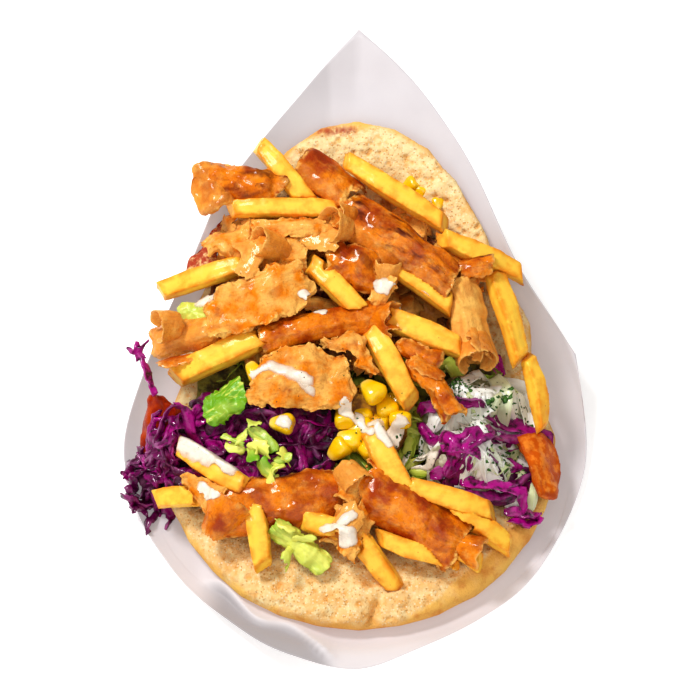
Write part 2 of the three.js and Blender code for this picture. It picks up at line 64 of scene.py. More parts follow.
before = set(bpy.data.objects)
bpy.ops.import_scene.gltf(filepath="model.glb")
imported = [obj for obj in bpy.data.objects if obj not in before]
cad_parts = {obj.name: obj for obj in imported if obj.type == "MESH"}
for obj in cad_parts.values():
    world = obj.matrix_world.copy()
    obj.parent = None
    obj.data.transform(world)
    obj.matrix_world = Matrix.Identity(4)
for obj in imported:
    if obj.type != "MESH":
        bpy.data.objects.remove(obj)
CAD_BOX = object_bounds()
MM = 0.001
LOWEST = 3 * MM  # a strand never hangs lower than this
BESIDE = 12 * MM  # the height of a line where nothing lies under it
ABOVE = 0.2  # where rays that look down on the food start
DOWN = Vector((0, 0, -1))
ONE_FACE = math.radians(60)  # triangles that meet more flatly than this are one face
SHARP = math.radians(50)  # an edge bent more than this stays sharp when it is rounded
CHIP_NODES = sorted(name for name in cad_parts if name.startswith("chip_"))
ROAST_NODES = {
    # How charred the roasted face of each shaving is, from 0 to 1.
    "meat_roll_top": 1.0,
    "meat_slab_back": 0.45,
    "meat_fold_back": 0.35,
    "meat_cube": 0.5,
    "meat_roll_mid": 0.15,
    "meat_half_roll_left": 0.1,
    "meat_fold_small": 0.3,
    "meat_strip_low": 0.4,
    "meat_slab_front": 0.3,
    "meat_roll_front": 0.3,
}
PALE_NODES = sorted(
    name
    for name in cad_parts
    if name.startswith("meat_") and name not in ROAST_NODES and name != "meat_bed"
)


# ---- Colours -----------------------------------------------------------------


def paint(red, green, blue):
    """A colour as it looks on a screen, from 0 to 255, turned into Blender's light values."""
    return tuple(
        c / 12.92 if c <= 0.04045 else ((c + 0.055) / 1.055) ** 2.4
        for c in (red / 255, green / 255, blue / 255)
    )


def colour_setting(name, description, red, green, blue):
    return FloatVectorProperty(
        name=name,
        description=description,
        default=paint(red, green, blue),
        subtype="COLOR",
        min=0,
        max=1,
    )


def length_setting(name, description, default):
    return FloatProperty(
        name=name, description=description, default=default * MM, unit="LENGTH", precision=5
    )


class BakerySettings(bpy.types.PropertyGroup):
    """Sizes and colours of the flatbread and the serving paper."""

    grain: length_setting("Bread detail", "Size of the smallest detail in the bread's shape", 1.02)
    pore_size: length_setting("Pore size", "Radius of the largest pores in the crumb", 1.7)
    pore_depth: length_setting("Pore depth", "Depth of the largest pores in the crumb", 1.5)
    pore_count: IntProperty(
        name="Pores", description="Number of open pores in the crumb", default=1500
    )
    crumb: colour_setting("Crumb", "Colour of the soft inside of the bread", 255, 230, 174)
    # Toasted crumb, and also the painted shade in the crumb's pores, pits and front.
    toasted_crumb_and_shade: colour_setting(
        "Toasted crumb", "Colour of the crumb where it has caught", 240, 168, 74
    )
    crust: colour_setting("Crust", "Colour of the baked crust", 255, 204, 104)
    dark_crust: colour_setting(
        "Dark crust", "Colour of the crust where it is browned most", 208, 112, 32
    )
    flour: colour_setting("Flour", "Colour of the flour that dusts the crust", 250, 232, 200)
    chilli: colour_setting(
        "Chilli sauce", "Colour of the chilli sauce soaked into the crumb", 176, 44, 12
    )
    paper: colour_setting("Paper", "Colour of the serving paper", 176, 171, 175)
    ripple: length_setting("Paper ripple", "Height of the soft ripples in the paper", 1.2)


class FillingSettings(bpy.types.PropertyGroup):
    """Sizes and colours of the meat and the chips."""

    meat_grain: length_setting(
        "Meat detail", "Size of the smallest detail in the meat's shape", 0.7
    )
    ruffle: length_setting(
        "Meat ruffle", "How far the shavings buckle out of their plain curl", 1.5
    )
    flesh: colour_setting("Flesh", "Colour of the meat inside", 250, 194, 104)
    golden_meat: colour_setting("Golden meat", "Colour of lightly roasted meat", 240, 136, 10)
    # Also painted as shade in the meat's hollows.
    roast_meat_and_shade: colour_setting("Roasted meat", "Colour of well roasted meat", 158, 46, 0)
    char: colour_setting("Char", "Colour of the meat where it is charred", 84, 18, 0)
    chip_grain: length_setting("Chip detail", "Size of the smallest detail in a chip's shape", 0.7)
    chip: colour_setting("Chip", "Colour of a chip's flat faces", 255, 206, 76)
    chip_edge: colour_setting("Chip edge", "Colour of a chip's fried edges", 236, 130, 4)
    chip_tip: colour_setting("Chip tip", "Colour of a chip's browned tips", 190, 96, 26)


class SaladSettings(bpy.types.PropertyGroup):
    """Sizes and colours of the salad, the sweetcorn and the dressings."""

    strand_width: length_setting("Cabbage width", "Width of a shred of cabbage", 5.2)
    strand_count: IntProperty(
        name="Cabbage shreds", description="Shreds in the larger heap of cabbage", default=150
    )
    cabbage: colour_setting("Cabbage", "Colour of the red cabbage", 182, 6, 138)
    dark_cabbage: colour_setting(
        "Dark cabbage", "Colour of the cabbage's darkest leaves", 44, 0, 28
    )
    cut_cabbage: colour_setting(
        "Cut cabbage", "Colour of the cabbage where it is cut", 214, 120, 190
    )
    onion_width: length_setting("Onion width", "Width of a sliver of onion", 7.0)
    onion: colour_setting("Onion", "Colour of the onion", 252, 252, 240)
    green_onion: colour_setting(
        "Green onion", "Colour of the onion towards its green end", 196, 214, 120
    )
    lettuce: colour_setting("Lettuce", "Colour of the green of the lettuce", 112, 172, 18)
    pale_lettuce: colour_setting("Pale lettuce", "Colour of the lettuce's ribs", 238, 236, 112)
    corn: colour_setting("Sweetcorn", "Colour of the sweetcorn", 250, 202, 8)
    tomato: colour_setting("Tomato", "Colour of the dried tomato", 140, 28, 4)
    sauce: colour_setting("Yoghurt sauce", "Colour of the yoghurt sauce", 250, 236, 216)
    parsley: colour_setting("Parsley", "Colour of the chopped parsley", 40, 82, 26)
    pepper: colour_setting("Pepper", "Colour of the crushed pepper", 46, 34, 20)


# ---- Making and shaping meshes -------------------------------------------------


def select_only(obj):
    """Leaves one object selected and active, in object mode."""
    if bpy.context.object and bpy.context.object.mode != "OBJECT":
        bpy.ops.object.mode_set(mode="OBJECT")
    bpy.ops.object.select_all(action="DESELECT")
    obj.select_set(True)
    bpy.context.view_layer.objects.active = obj


def places(obj):
    """The mesh's points as rows of numbers."""
    flat = np.empty(len(obj.data.vertices) * 3, np.float32)
    obj.data.vertices.foreach_get("co", flat)
    return flat.reshape(-1, 3).astype(float)


def facings(obj):
    """The directions in which the mesh's points face."""
    flat = np.empty(len(obj.data.vertices) * 3, np.float32)
    obj.data.vertex_normals.foreach_get("vector", flat)
    return flat.reshape(-1, 3).astype(float)


def put(obj, points):
    obj.data.vertices.foreach_set("co", np.asarray(points, np.float32).ravel())
    obj.data.update()


def mark(obj, name, values):
    """Keeps a number, or three, for each point of the mesh, for its material to read."""
    values = np.asarray(values, np.float32)
    kind, key = ("FLOAT", "value") if values.ndim == 1 else ("FLOAT_VECTOR", "vector")
    attribute = obj.data.attributes.new(name, kind, "POINT")
    attribute.data.foreach_set(key, values.ravel())


def smooth(obj):
    obj.data.polygons.foreach_set("use_smooth", [True] * len(obj.data.polygons))
    obj.data.update()


def new_piece(name, points, faces):
    mesh = bpy.data.meshes.new(name)
    mesh.from_pydata([tuple(p) for p in points], [], faces)
    mesh.update()
    obj = bpy.data.objects.new(name, mesh)
    bpy.context.scene.collection.objects.link(obj)
    smooth(obj)
    return obj


def edit_all(obj, *steps):
    """Takes steps of editing on the whole of a mesh, as by hand."""
    select_only(obj)
    bpy.ops.object.mode_set(mode="EDIT")
    for step in steps:
        bpy.ops.mesh.select_all(action="SELECT")
        step()
    bpy.ops.object.mode_set(mode="OBJECT")


def take_apart(obj):
    """The points and faces of an object made to copy from, which itself goes."""
    points, mesh = places(obj), obj.data
    faces = [list(face.vertices) for face in mesh.polygons]
    bpy.data.objects.remove(obj)
    bpy.data.meshes.remove(mesh)
    return points, faces


def copy_node(node, name):
    """A copy of a CAD node to be shaped further, with its loose triangles joined up."""
    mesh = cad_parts[node].data.copy()
    mesh.name = name
    mesh.materials.clear()
    obj = bpy.data.objects.new(name, mesh)
    bpy.context.scene.collection.objects.link(obj)
    edit_all(obj, lambda: bpy.ops.mesh.remove_doubles(threshold=0.02 * MM))
    return obj


def modify(obj, kind, **values):
    """Adds one modifier and applies it."""
    select_only(obj)
    modifier = obj.modifiers.new(kind.title(), kind)
    for key, value in values.items():
        setattr(modifier, key, value)
    bpy.ops.object.modifier_apply(modifier=modifier.name)


def refine(obj, grain, rounds):
    """Remakes the mesh in small even faces, and rounds off the facets it had."""
    modify(obj, "REMESH", mode="VOXEL", voxel_size=grain, use_smooth_shade=True)
    modify(obj, "SMOOTH", factor=0.5, iterations=rounds)


def ease(values, low, high):
    """0 below low, 1 above high, and a smooth rise between them."""
    share = np.clip((values - low) / (high - low), 0, 1)
    return share * share * (3 - 2 * share)


def lumps(points, size, seed):
    """Smooth random numbers between about -1 and 1 that change over lumps of this size."""
    grid = points / size + np.array([12.9, 78.2, 37.7]) * seed
    cell = np.floor(grid).astype(np.int64)
    share = grid - cell
    share = share * share * share * (share * (share * 6 - 15) + 10)
    total = np.zeros(len(points))
    for corner in np.ndindex(2, 2, 2):
        at = cell + corner
        mixed = (at[:, 0] * 73856093) ^ (at[:, 1] * 19349663) ^ (at[:, 2] * 83492791)
        mixed = ((mixed ^ (mixed >> 13)) * 1274126177) & 0xFFFFFFFF
        mixed = ((mixed ^ (mixed >> 15)) * 2246822519) & 0xFFFFFFFF
        height = ((mixed >> 9) & 65535) / 32767.5 - 1
        total += height * np.prod(np.where(corner, share, 1 - share), axis=1)
    return total


def drift(points, size, seed):
    """Smooth random shifts, as rows of three numbers."""
    return np.stack([lumps(points, size, seed + 31 * k) for k in range(3)], axis=1)


def closeness(obj, targets, reach):
    """How near each point is to any of the targets: 1 on it, falling to 0 at this reach."""
    tree = KDTree(len(targets))
    for i, target in enumerate(targets):
        tree.insert(target, i)
    tree.balance()
    far = np.array([tree.find(p)[2] for p in places(obj)]) if targets else np.full(
        len(obj.data.vertices), 1.0
    )
    return 1 - ease(far, 0, reach)


def sharp_line(obj, angle):
    """Points along all the edges where the mesh turns by more than this angle."""
    shape = bmesh.new()
    shape.from_mesh(obj.data)
    line = []
    for edge in shape.edges:
        if len(edge.link_faces) == 2 and edge.calc_face_angle(0) > angle:
            a, b = (v.co.copy() for v in edge.verts)
            count = max(1, int((b - a).length / (0.6 * MM)))
            line += [a.lerp(b, i / count) for i in range(count + 1)]
    shape.free()
    return line


def own_axes(points):
    """A piece's middle and its own three directions, the longest first."""
    middle = points.mean(axis=0)
    _, directions = np.linalg.eigh(np.cov((points - middle).T))
    return middle, directions[:, ::-1]


def spot(node, across, along):
    """A place over a node, as shares of its box from left to right and from front to back."""
    low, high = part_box(node)
    return Vector((low.x + (high.x - low.x) * across, low.y + (high.y - low.y) * along, high.z))


def surface_of(*nodes):
    """The joined surfaces of CAD nodes, to lay small things on."""
    points, faces = [], []
    for node in nodes:
        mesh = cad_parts[node].data
        start = len(points)
        points += [v.co.copy() for v in mesh.vertices]
        faces += [[start + i for i in face.vertices] for face in mesh.polygons]
    return BVHTree.FromPolygons(points, faces)


def hold_inside(obj, wrap, gap):
    """Draws back whatever of a piece has come through the sheet round it."""
    corners = [v.co.copy() for v in wrap.data.vertices]
    shell = BVHTree.FromPolygons(corners, [list(face.vertices) for face in wrap.data.polygons])
    points = places(obj)
    for i, point in enumerate(points):
        start = Vector((point[0] * 0.5, point[1] * 0.9, 80 * MM))
        way = Vector(point) - start
        hit = shell.ray_cast(start, way, way.length + gap)[0]
        if hit is not None:
            points[i] = start + way.normalized() * ((hit - start).length - gap)
    put(obj, points)


def under(surface, x, y, above=0.3):
    """Height of a surface at this place seen from above, or None beside it."""
    hit = surface.ray_cast(Vector((x, y, above)), DOWN)[0]
    return None if hit is None else hit.z


def dress(obj, material, slot, *nodes):
    """Gives a finished piece its material and hides the nodes it stands for; its slot is not used.
    """
    obj.data.materials.clear()
    obj.data.materials.append(material)
    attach(obj, "root")
    if nodes:
        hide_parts(*nodes)
    return obj


# ---- Shader building -----------------------------------------------------------


def plug(tree, socket, value):
    """Links a socket, or sets its value."""
    if isinstance(value, bpy.types.NodeSocket):
        tree.links.new(value, socket)
    elif hasattr(socket.default_value, "__len__") and len(socket.default_value) == 4:
        socket.default_value = (*value[:3], 1)
    else:
        socket.default_value = value


def grow(tree, kind, inputs, output=0, **settings):
    """Adds a shader node with these settings and inputs, and gives one of its outputs."""
    node = tree.nodes.new(kind)
    for key, value in settings.items():
        setattr(node, key, value)
    for key, value in inputs.items():
        plug(tree, node.inputs[key], value)
    return node.outputs[output]


def reckon(tree, operation, first, second=0.0):
    return grow(tree, "ShaderNodeMath", {0: first, 1: second}, operation=operation)


def mix(tree, share, first, second):
    """A colour between two others."""
    return grow(tree, "ShaderNodeMix", {0: share, 6: first, 7: second}, 2, data_type="RGBA")


def rise(tree, value, low, high, least=0.0, most=1.0):
    """A smooth rise from the least to the most as a value goes from low to high."""
    inputs = {"Value": value, "From Min": low, "From Max": high, "To Min": least, "To Max": most}
    return grow(tree, "ShaderNodeMapRange", inputs, interpolation_type="SMOOTHSTEP")


def make_group(name, inputs, output, build):
    """A shader node group: inputs are (name, kind, default), and build gives its one output."""
    group = bpy.data.node_groups.new(name, "ShaderNodeTree")
    for label, kind, default in inputs:
        socket = group.interface.new_socket(label, in_out="INPUT", socket_type=kind)
        if kind == "NodeSocketFloat":
            socket.default_value = default
    group.interface.new_socket(output, in_out="OUTPUT", socket_type="NodeSocketFloat")
    enter = group.nodes.new("NodeGroupInput").outputs
    leave = group.nodes.new("NodeGroupOutput").inputs
    group.links.new(build(group, enter), leave[output])
    return group


def noise(tree, vector, scale, detail=3.0, rough=0.55):
    inputs = {"Vector": vector, "Scale": scale, "Detail": detail, "Roughness": rough}
    return grow(tree, "ShaderNodeTexNoise", inputs)


def build_mottling(tree, enter):
    scale = reckon(tree, "DIVIDE", 1.0, enter["Size"])
    return rise(tree, noise(tree, enter["Vector"], scale, 4.0), enter["Low"], enter["High"])


def build_specks(tree, enter):
    scale = reckon(tree, "DIVIDE", 1.0, enter["Spacing"])
    cells = tree.nodes.new("ShaderNodeTexVoronoi")
    plug(tree, cells.inputs["Vector"], enter["Vector"])
    plug(tree, cells.inputs["Scale"], scale)
    kept = reckon(tree, "LESS_THAN", cells.outputs["Color"], enter["Kept"])
    inner = reckon(tree, "MULTIPLY", enter["Radius"], 0.6)
    dot = rise(tree, cells.outputs["Distance"], inner, enter["Radius"], 1.0, 0.0)
    return reckon(tree, "MULTIPLY", dot, kept)


def build_fibres(tree, enter):
    along = reckon(tree, "DIVIDE", 1.0, enter["Length"])
    across = reckon(tree, "DIVIDE", 1.0, enter["Width"])
    stretch = grow(tree, "ShaderNodeCombineXYZ", {0: along, 1: across, 2: across})
    inputs = {0: enter["Vector"], 1: stretch}
    laid = grow(tree, "ShaderNodeVectorMath", inputs, operation="MULTIPLY")
    return noise(tree, laid, 1.0, 3.0)


def build_grain(tree, enter):
    scale = reckon(tree, "DIVIDE", 1.0, enter["Size"])
    return noise(tree, enter["Vector"], scale, 5.0, 0.65)


NUMBER, VECTOR = "NodeSocketFloat", "NodeSocketVector"
GROUPS = {}


def make_groups():
    """The effects that several finishes share."""
    GROUPS["mottling"] = make_group(
        "Mottling",
        [
            ("Vector", VECTOR, 0),
            ("Size", NUMBER, 0.006),
            ("Low", NUMBER, 0.45),
            ("High", NUMBER, 0.6),
        ],
        "Mask",
        build_mottling,
    )
    GROUPS["specks"] = make_group(
        "Specks",
        [
            ("Vector", VECTOR, 0),
            ("Spacing", NUMBER, 0.004),
            ("Radius", NUMBER, 0.15),
            ("Kept", NUMBER, 0.4),
        ],
        "Mask",
        build_specks,
    )
    GROUPS["fibres"] = make_group(
        "Fibres",
        [("Vector", VECTOR, 0), ("Length", NUMBER, 0.008), ("Width", NUMBER, 0.0008)],
        "Height",
        build_fibres,
    )
    GROUPS["grain"] = make_group(
        "Grain", [("Vector", VECTOR, 0), ("Size", NUMBER, 0.002)], "Height", build_grain
    )


class Finish:
    """A material in the making, with its pattern places and the attributes of its piece."""

    def __init__(self, name, **sockets):
        self.material = bpy.data.materials.new(name)
        self.material.use_nodes = True
        self.tree = self.material.node_tree
        self.shader = self.tree.nodes["Principled BSDF"]
        for key, value in sockets.items():
            self.set(key.replace("_", " "), value)
        self.place = self.tree.nodes.new("ShaderNodeTexCoord").outputs["Object"]

    def read(self, name, output="Fac"):
        return grow(self.tree, "ShaderNodeAttribute", {}, output, attribute_name=name)

    def use(self, group, vector=None, **values):
        inputs = {"Vector": vector or self.place, **values}
        return grow(self.tree, "ShaderNodeGroup", inputs, node_tree=GROUPS[group])

    def mottle(self, size, low, high, vector=None):
        return self.use("mottling", vector, Size=size * MM, Low=low, High=high)

    def speck(self, spacing, radius, kept):
        return self.use("specks", Spacing=spacing * MM, Radius=radius, Kept=kept)

    def grain(self, size):
        return self.use("grain", Size=size * MM)

    def fibres(self, length, width):
        along = self.read("along", "Vector")
        return self.use("fibres", along, Length=length * MM, Width=width * MM)

    def times(self, *values):
        product, *rest = values
        for value in rest:
            product = reckon(self.tree, "MULTIPLY", product, value)
        return product

    def over(self, share, first, second):
        return mix(self.tree, share, first, second)

    def cover(self, colour, *masks):
        """Lays a colour over what is there, as far as all the masks let it."""
        self.body = self.over(self.times(*masks), self.body, colour) if masks else colour

    def set(self, key, value):
        plug(self.tree, self.shader.inputs[key], value)

    def soak(self, weight, *radius):
        """Lets light into the piece, this far for red, green and blue."""
        self.set("Subsurface Weight", weight)
        self.set("Subsurface Radius", radius)
        self.set("Subsurface Scale", 1.0)

    def roughness(self, value, least, most):
        self.set("Roughness", rise(self.tree, value, 0.2, 0.8, least, most))

    def relief(self, *layers):
        """Ends with layers of relief: a height from 0 to 1, and how many millimetres that is."""
        self.set("Base Color", self.body)
        normal = None
        for height, distance in layers:
            inputs = {"Height": height, "Distance": distance * MM, "Strength": 1.0}
            if normal is not None:
                inputs["Normal"] = normal
            normal = grow(self.tree, "ShaderNodeBump", inputs)
        self.set("Normal", normal)
        return self.material


# ---- Finishes --------------------------------------------------------------------


def bread_finish(look):
    finish = Finish("Flatbread", Roughness=0.8)
    crumb = finish.read("crumb")
    finish.cover(look.crumb)
    finish.cover(look.toasted_crumb_and_shade, finish.mottle(9, 0.5, 0.72), 0.5)
    finish.cover(look.toasted_crumb_and_shade, finish.mottle(3.5, 0.52, 0.66), 0.5)
    # Darker crumb towards the front: partly toasting, partly painted shade.
    finish.cover(look.toasted_crumb_and_shade, finish.read("front"), finish.mottle(5, 0.3, 0.65))
    # Painted shade: the pores and the split in the rim are darkened.
    finish.cover(look.toasted_crumb_and_shade, finish.read("pore"))
    # Pale flecks: grain of the crumb and painted highlights on it.
    finish.cover(paint(255, 246, 218), finish.speck(1.3, 0.4, 0.5), 0.5)
    inside = finish.body
    finish.cover(look.crust)
    finish.cover(look.dark_crust, finish.read("browned"))
    finish.cover(look.dark_crust, finish.mottle(6, 0.5, 0.72), 0.5)
    finish.cover(look.flour, finish.mottle(11, 0.48, 0.68), 0.14)
    finish.cover(inside, crumb)
    # Painted shade in small pits, which the relief also sinks.
    shaded_pits = finish.times(finish.speck(1.5, 0.3, 0.6), crumb, 0.7)
    finish.cover(look.toasted_crumb_and_shade, shaded_pits)
    finish.cover(look.chilli, finish.read("chilli"), finish.mottle(2.6, 0.3, 0.54))
    sunken = reckon(finish.tree, "SUBTRACT", 1.0, shaded_pits)
    return finish.relief((finish.grain(2.2), 0.7), (finish.grain(0.8), 0.5), (sunken, 0.4))


def paper_finish(look):
    finish = Finish("Serving paper", Roughness=0.6, Emission_Strength=0.3)
    # Painted light: the paper glows a little, and the more so at the front, which leans back.
    through = finish.over(finish.read("front"), paint(208, 204, 205), paint(255, 246, 242))
    finish.set("Emission Color", through)
    finish.cover(look.paper)
    finish.cover(paint(200, 195, 198), finish.mottle(34, 0.3, 0.75), 0.3)
    # Painted shade where the sheet is marked: past the front-left fold and on the back corner's
    # left half.
    finish.cover(paint(96, 88, 90), finish.read("shade"))
    return finish.relief((finish.grain(0.5), 0.02))


def chip_finish(look):
    finish = Finish("Chips", Specular_IOR_Level=0.2, Coat_Weight=0.2, Coat_Roughness=0.15)
    uneven = finish.mottle(5, 0.32, 0.62)
    finish.cover(look.chip)
    finish.cover(look.chip_edge, finish.mottle(7, 0.45, 0.7), 0.45)
    finish.cover(look.chip_edge, finish.read("edge"), uneven, 0.8)
    finish.cover(look.chip_tip, finish.read("tip"), finish.mottle(4, 0.4, 0.6))
    finish.cover(look.chip_tip, finish.speck(3.1, 0.13, 0.3), 0.55)
    finish.roughness(uneven, 0.34, 0.5)
    return finish.relief((finish.fibres(9, 1.1), 0.12), (finish.grain(0.9), 0.14))


def meat_finish(name, look, pale, gloss):
    """Roasted outside and pale inside, with fibres along the shaving."""
    finish = Finish(name, Specular_IOR_Level=0.08, Coat_Weight=gloss, Coat_Roughness=0.13)
    outside, fibres, broad = finish.read("outside"), finish.fibres(7, 0.7), finish.fibres(16, 4)
    finish.cover(look.flesh)
    spread = finish.mottle(8, 0.38, 0.66) if pale else finish.mottle(4.5, 0.3, 0.54)
    finish.cover(look.golden_meat, spread, rise(finish.tree, outside, 0, 1, 0.35, 1))
    finish.cover(look.golden_meat, outside, 0.15 if pale else 0.66)
    deep = finish.mottle(11, 0.54, 0.8) if pale else finish.mottle(11, 0.38, 0.66)
    finish.cover(look.roast_meat_and_shade, outside, deep, 0.9)
    finish.cover(look.roast_meat_and_shade, outside, finish.mottle(1.8, 0.54, 0.66), 0.2 if pale else 0.28)
    streaked = rise(finish.tree, broad, 0.46, 0.64)
    caught = finish.mottle(10, 0.4, 0.56)
    finish.cover(look.char, finish.read("charred"), outside, streaked, caught)
    finish.cover(look.flesh, finish.read("torn"), finish.mottle(3, 0.4, 0.6))
    finish.cover(look.roast_meat_and_shade, rise(finish.tree, fibres, 0.5, 0.7), 0.08 if pale else 0.14)
    # Painted shade: the hollows of the meat are darkened.
    finish.cover(look.roast_meat_and_shade, finish.read("sunk"), 0.6)
    finish.cover(look.char, finish.speck(3.6, 0.1, 0.16), 0.7)
    finish.roughness(finish.grain(3), 0.36 if pale else 0.24, 0.55)
    grains = [(finish.grain(size), high) for size, high in ((3, 0.9), (1.6, 0.4), (0.9, 0.28))]
    return finish.relief((fibres, 0.2), *grains)


def cabbage_finish(look):
    finish = Finish(
        "Red cabbage", Roughness=0.4, Specular_IOR_Level=0.08, Coat_Weight=0.7, Coat_Roughness=0.04
    )
    finish.cover(look.dark_cabbage)
    finish.cover(look.cabbage, finish.read("tone"), finish.mottle(3.5, 0.3, 0.56))
    finish.cover(look.cut_cabbage, finish.read("rim"), finish.mottle(5, 0.4, 0.62), 0.45)
    return finish.relief((finish.fibres(7, 0.9), 0.4), (finish.grain(1.6), 0.4))


def onion_finish(look):
    finish = Finish("Onion", Roughness=0.25, Coat_Weight=0.3, Coat_Roughness=0.1)
    finish.soak(0.25, 0.004, 0.004, 0.003)
    veins = finish.fibres(22, 0.8)
    finish.cover(look.onion)
    finish.cover(look.green_onion, rise(finish.tree, finish.read("tone"), 0.62, 1.0), 0.8)
    finish.cover(paint(250, 250, 246), rise(finish.tree, veins, 0.5, 0.7), 0.3)
    return finish.relief((veins, 0.3))


def leaf_finish(look):
    finish = Finish("Lettuce", Roughness=0.38, Coat_Weight=0.2, Coat_Roughness=0.15)
    veins = finish.fibres(9, 1.6)
    finish.cover(look.pale_lettuce)
    finish.cover(look.lettuce, finish.read("tone"))
    finish.cover(look.pale_lettuce, rise(finish.tree, veins, 0.52, 0.66), 0.6)
    return finish.relief((veins, 0.5), (finish.grain(1.5), 0.3))


def bed_finish(name, dark, light):
    """Painted shade: the dark underside of a heap, seen only between the things on it."""
    finish = Finish(name, Roughness=0.5)
    finish.cover(dark)
    finish.cover(light, finish.mottle(6, 0.4, 0.62))
    return finish.relief((finish.grain(2.5), 1.2))


def corn_finish(look):
    finish = Finish("Sweetcorn", Roughness=0.22, Coat_Weight=0.5, Coat_Roughness=0.1)
    finish.soak(0.2, 0.003, 0.002, 0.0005)
    finish.cover(look.corn)
    finish.cover(paint(252, 232, 150), finish.read("tone"), 0.55)
    finish.cover(paint(236, 168, 0), finish.mottle(4, 0.4, 0.7), 0.4)
    return finish.relief((finish.grain(2.5), 0.15))


def tomato_finish(look):
    finish = Finish(
        "Tomato", Roughness=0.4, Specular_IOR_Level=0.05, Coat_Weight=0.1, Coat_Roughness=0.08
    )
    unripe = finish.read("unripe")
    finish.cover(look.tomato)
    finish.cover(paint(206, 84, 10), finish.mottle(7, 0.38, 0.66), 0.5)
    finish.cover(paint(228, 112, 20), unripe)
    finish.cover(paint(250, 158, 60), unripe, finish.mottle(4, 0.45, 0.62))
    finish.cover(paint(150, 44, 8), finish.read("edge"))
    return finish.relief((finish.grain(3), 0.5))


def sauce_finish(look):
    """White and thick in the middle of a stroke, and thinned away to nothing at its edge."""
    finish = Finish("Yoghurt sauce", Roughness=0.3, Coat_Weight=0.35, Coat_Roughness=0.15)
    # Painted light: a faint warm glow keeps the sauce bright.
    finish.set("Emission Color", (1, 0.93, 0.84, 1))
    finish.set("Emission Strength", 0.03)
    finish.soak(0.2, 0.004, 0.003, 0.002)
    thin = finish.read("thin")
    finish.cover(look.sauce)
    finish.cover(paint(246, 214, 176), thin, 0.6)
    finish.cover(look.parsley, finish.speck(1.9, 0.13, 0.16), 0.85)
    finish.cover(look.pepper, finish.speck(2.6, 0.09, 0.18), 0.8)
    solid = rise(finish.tree, reckon(finish.tree, "SUBTRACT", 1.0, thin), 0.0, 1.0)
    uneven = rise(finish.tree, finish.mottle(2.2, 0.3, 0.6), 0, 1, 0.86, 1)
    finish.set("Alpha", finish.times(solid, uneven))
    return finish.relief((finish.grain(4), 0.12))


def plain_finish(name, colour, other, size, roughness):
    finish = Finish(name, Roughness=roughness)
    finish.cover(colour)
    finish.cover(other, finish.mottle(size, 0.4, 0.6))
    return finish.relief((finish.grain(size), 0.1))


# ---- Strands: shredded salad ------------------------------------------------------


def strand_stock(sides, segments):
    """A straight rod made as by hand, of radius and length 1, to be bent into strands."""
    bpy.ops.object.select_all(action="DESELECT")
    bpy.ops.mesh.primitive_cylinder_add(vertices=sides, radius=1, depth=1, location=(0, 0, 0.5))
    rod = bpy.context.object

    def cut(height):
        bpy.ops.mesh.bisect(plane_co=(0, 0, height), plane_no=(0, 0, 1))

    edit_all(rod, *(partial(cut, i / segments) for i in range(1, segments)))
    bpy.ops.object.transform_apply(location=True, rotation=False, scale=False)
    return take_apart(rod)


class Pile:
    """Shapes bent from one stock and joined into one piece, with marks for its material."""

    def __init__(self, stock, faces):
        self.stock, self.faces = stock, faces
        self.points, self.all_faces, self.marks = [], [], {}

    def lay(self, shape, **marks):
        start = len(self.points) * len(shape)
        self.all_faces += [[start + i for i in face] for face in self.faces]
        self.points.append(shape)
        for key, values in marks.items():
            self.marks.setdefault(key, []).append(values)

    def piece(self, name):
        obj = new_piece(name, np.concatenate(self.points), self.all_faces)
        for key, values in self.marks.items():
            mark(obj, key, np.concatenate(values))
        return obj


class Shreds(Pile):
    """Strands bent along lines over a heap."""

    def __init__(self, sides, segments):
        super().__init__(*strand_stock(sides, segments))
        self.segments = segments
        self.ring = np.rint(self.stock[:, 2] * segments).astype(int)

    def add(self, line, width, thick, tilt, twist, tone, taper=0.35, cup=0.0):
        """One strand along the line, its width tilted out of the level and twisted on the way."""
        line = np.asarray(line)
        forward = np.gradient(line, axis=0)
        forward /= np.linalg.norm(forward, axis=1)[:, None] + 1e-12
        side = np.cross(np.array([0.0, 0.0, 1.0]), forward)
        side /= np.linalg.norm(side, axis=1)[:, None] + 1e-9
        upward = np.cross(forward, side)
        share = np.linspace(0, 1, self.segments + 1)
        turned = (tilt + twist * share)[:, None]
        wide = side * np.cos(turned) + upward * np.sin(turned)
        thin = upward * np.cos(turned) - side * np.sin(turned)
        ends = 1 - taper * np.abs(2 * share - 1) ** 4
        r = self.ring
        across = self.stock[:, 0] * width / 2 * ends[r]
        high = self.stock[:, 1] * thick / 2 * ends[r] + cup * width * (self.stock[:, 0] ** 2 - 0.5)
        shape = line[r] + wide[r] * across[:, None] + thin[r] * high[:, None]
        shape[:, 2] = np.maximum(shape[:, 2], 0.5 * MM)
        length = np.linalg.norm(np.diff(line, axis=0), axis=1).sum()
        own = np.stack([self.stock[:, 2] * length + tone, across, high], axis=1)
        rim = np.abs(self.stock[:, 0]) ** 4
        self.lay(shape, tone=np.full(len(shape), tone), rim=rim, along=own)


def slab_stock(along, around):
    """A flat slab made as by hand, to be curled: shares along, around and through it."""
    bpy.ops.object.select_all(action="DESELECT")
    bpy.ops.mesh.primitive_grid_add(x_subdivisions=along, y_subdivisions=around, size=2)
    slab = bpy.context.object
    modify(slab, "SOLIDIFY", thickness=1, offset=0)
    return take_apart(slab)


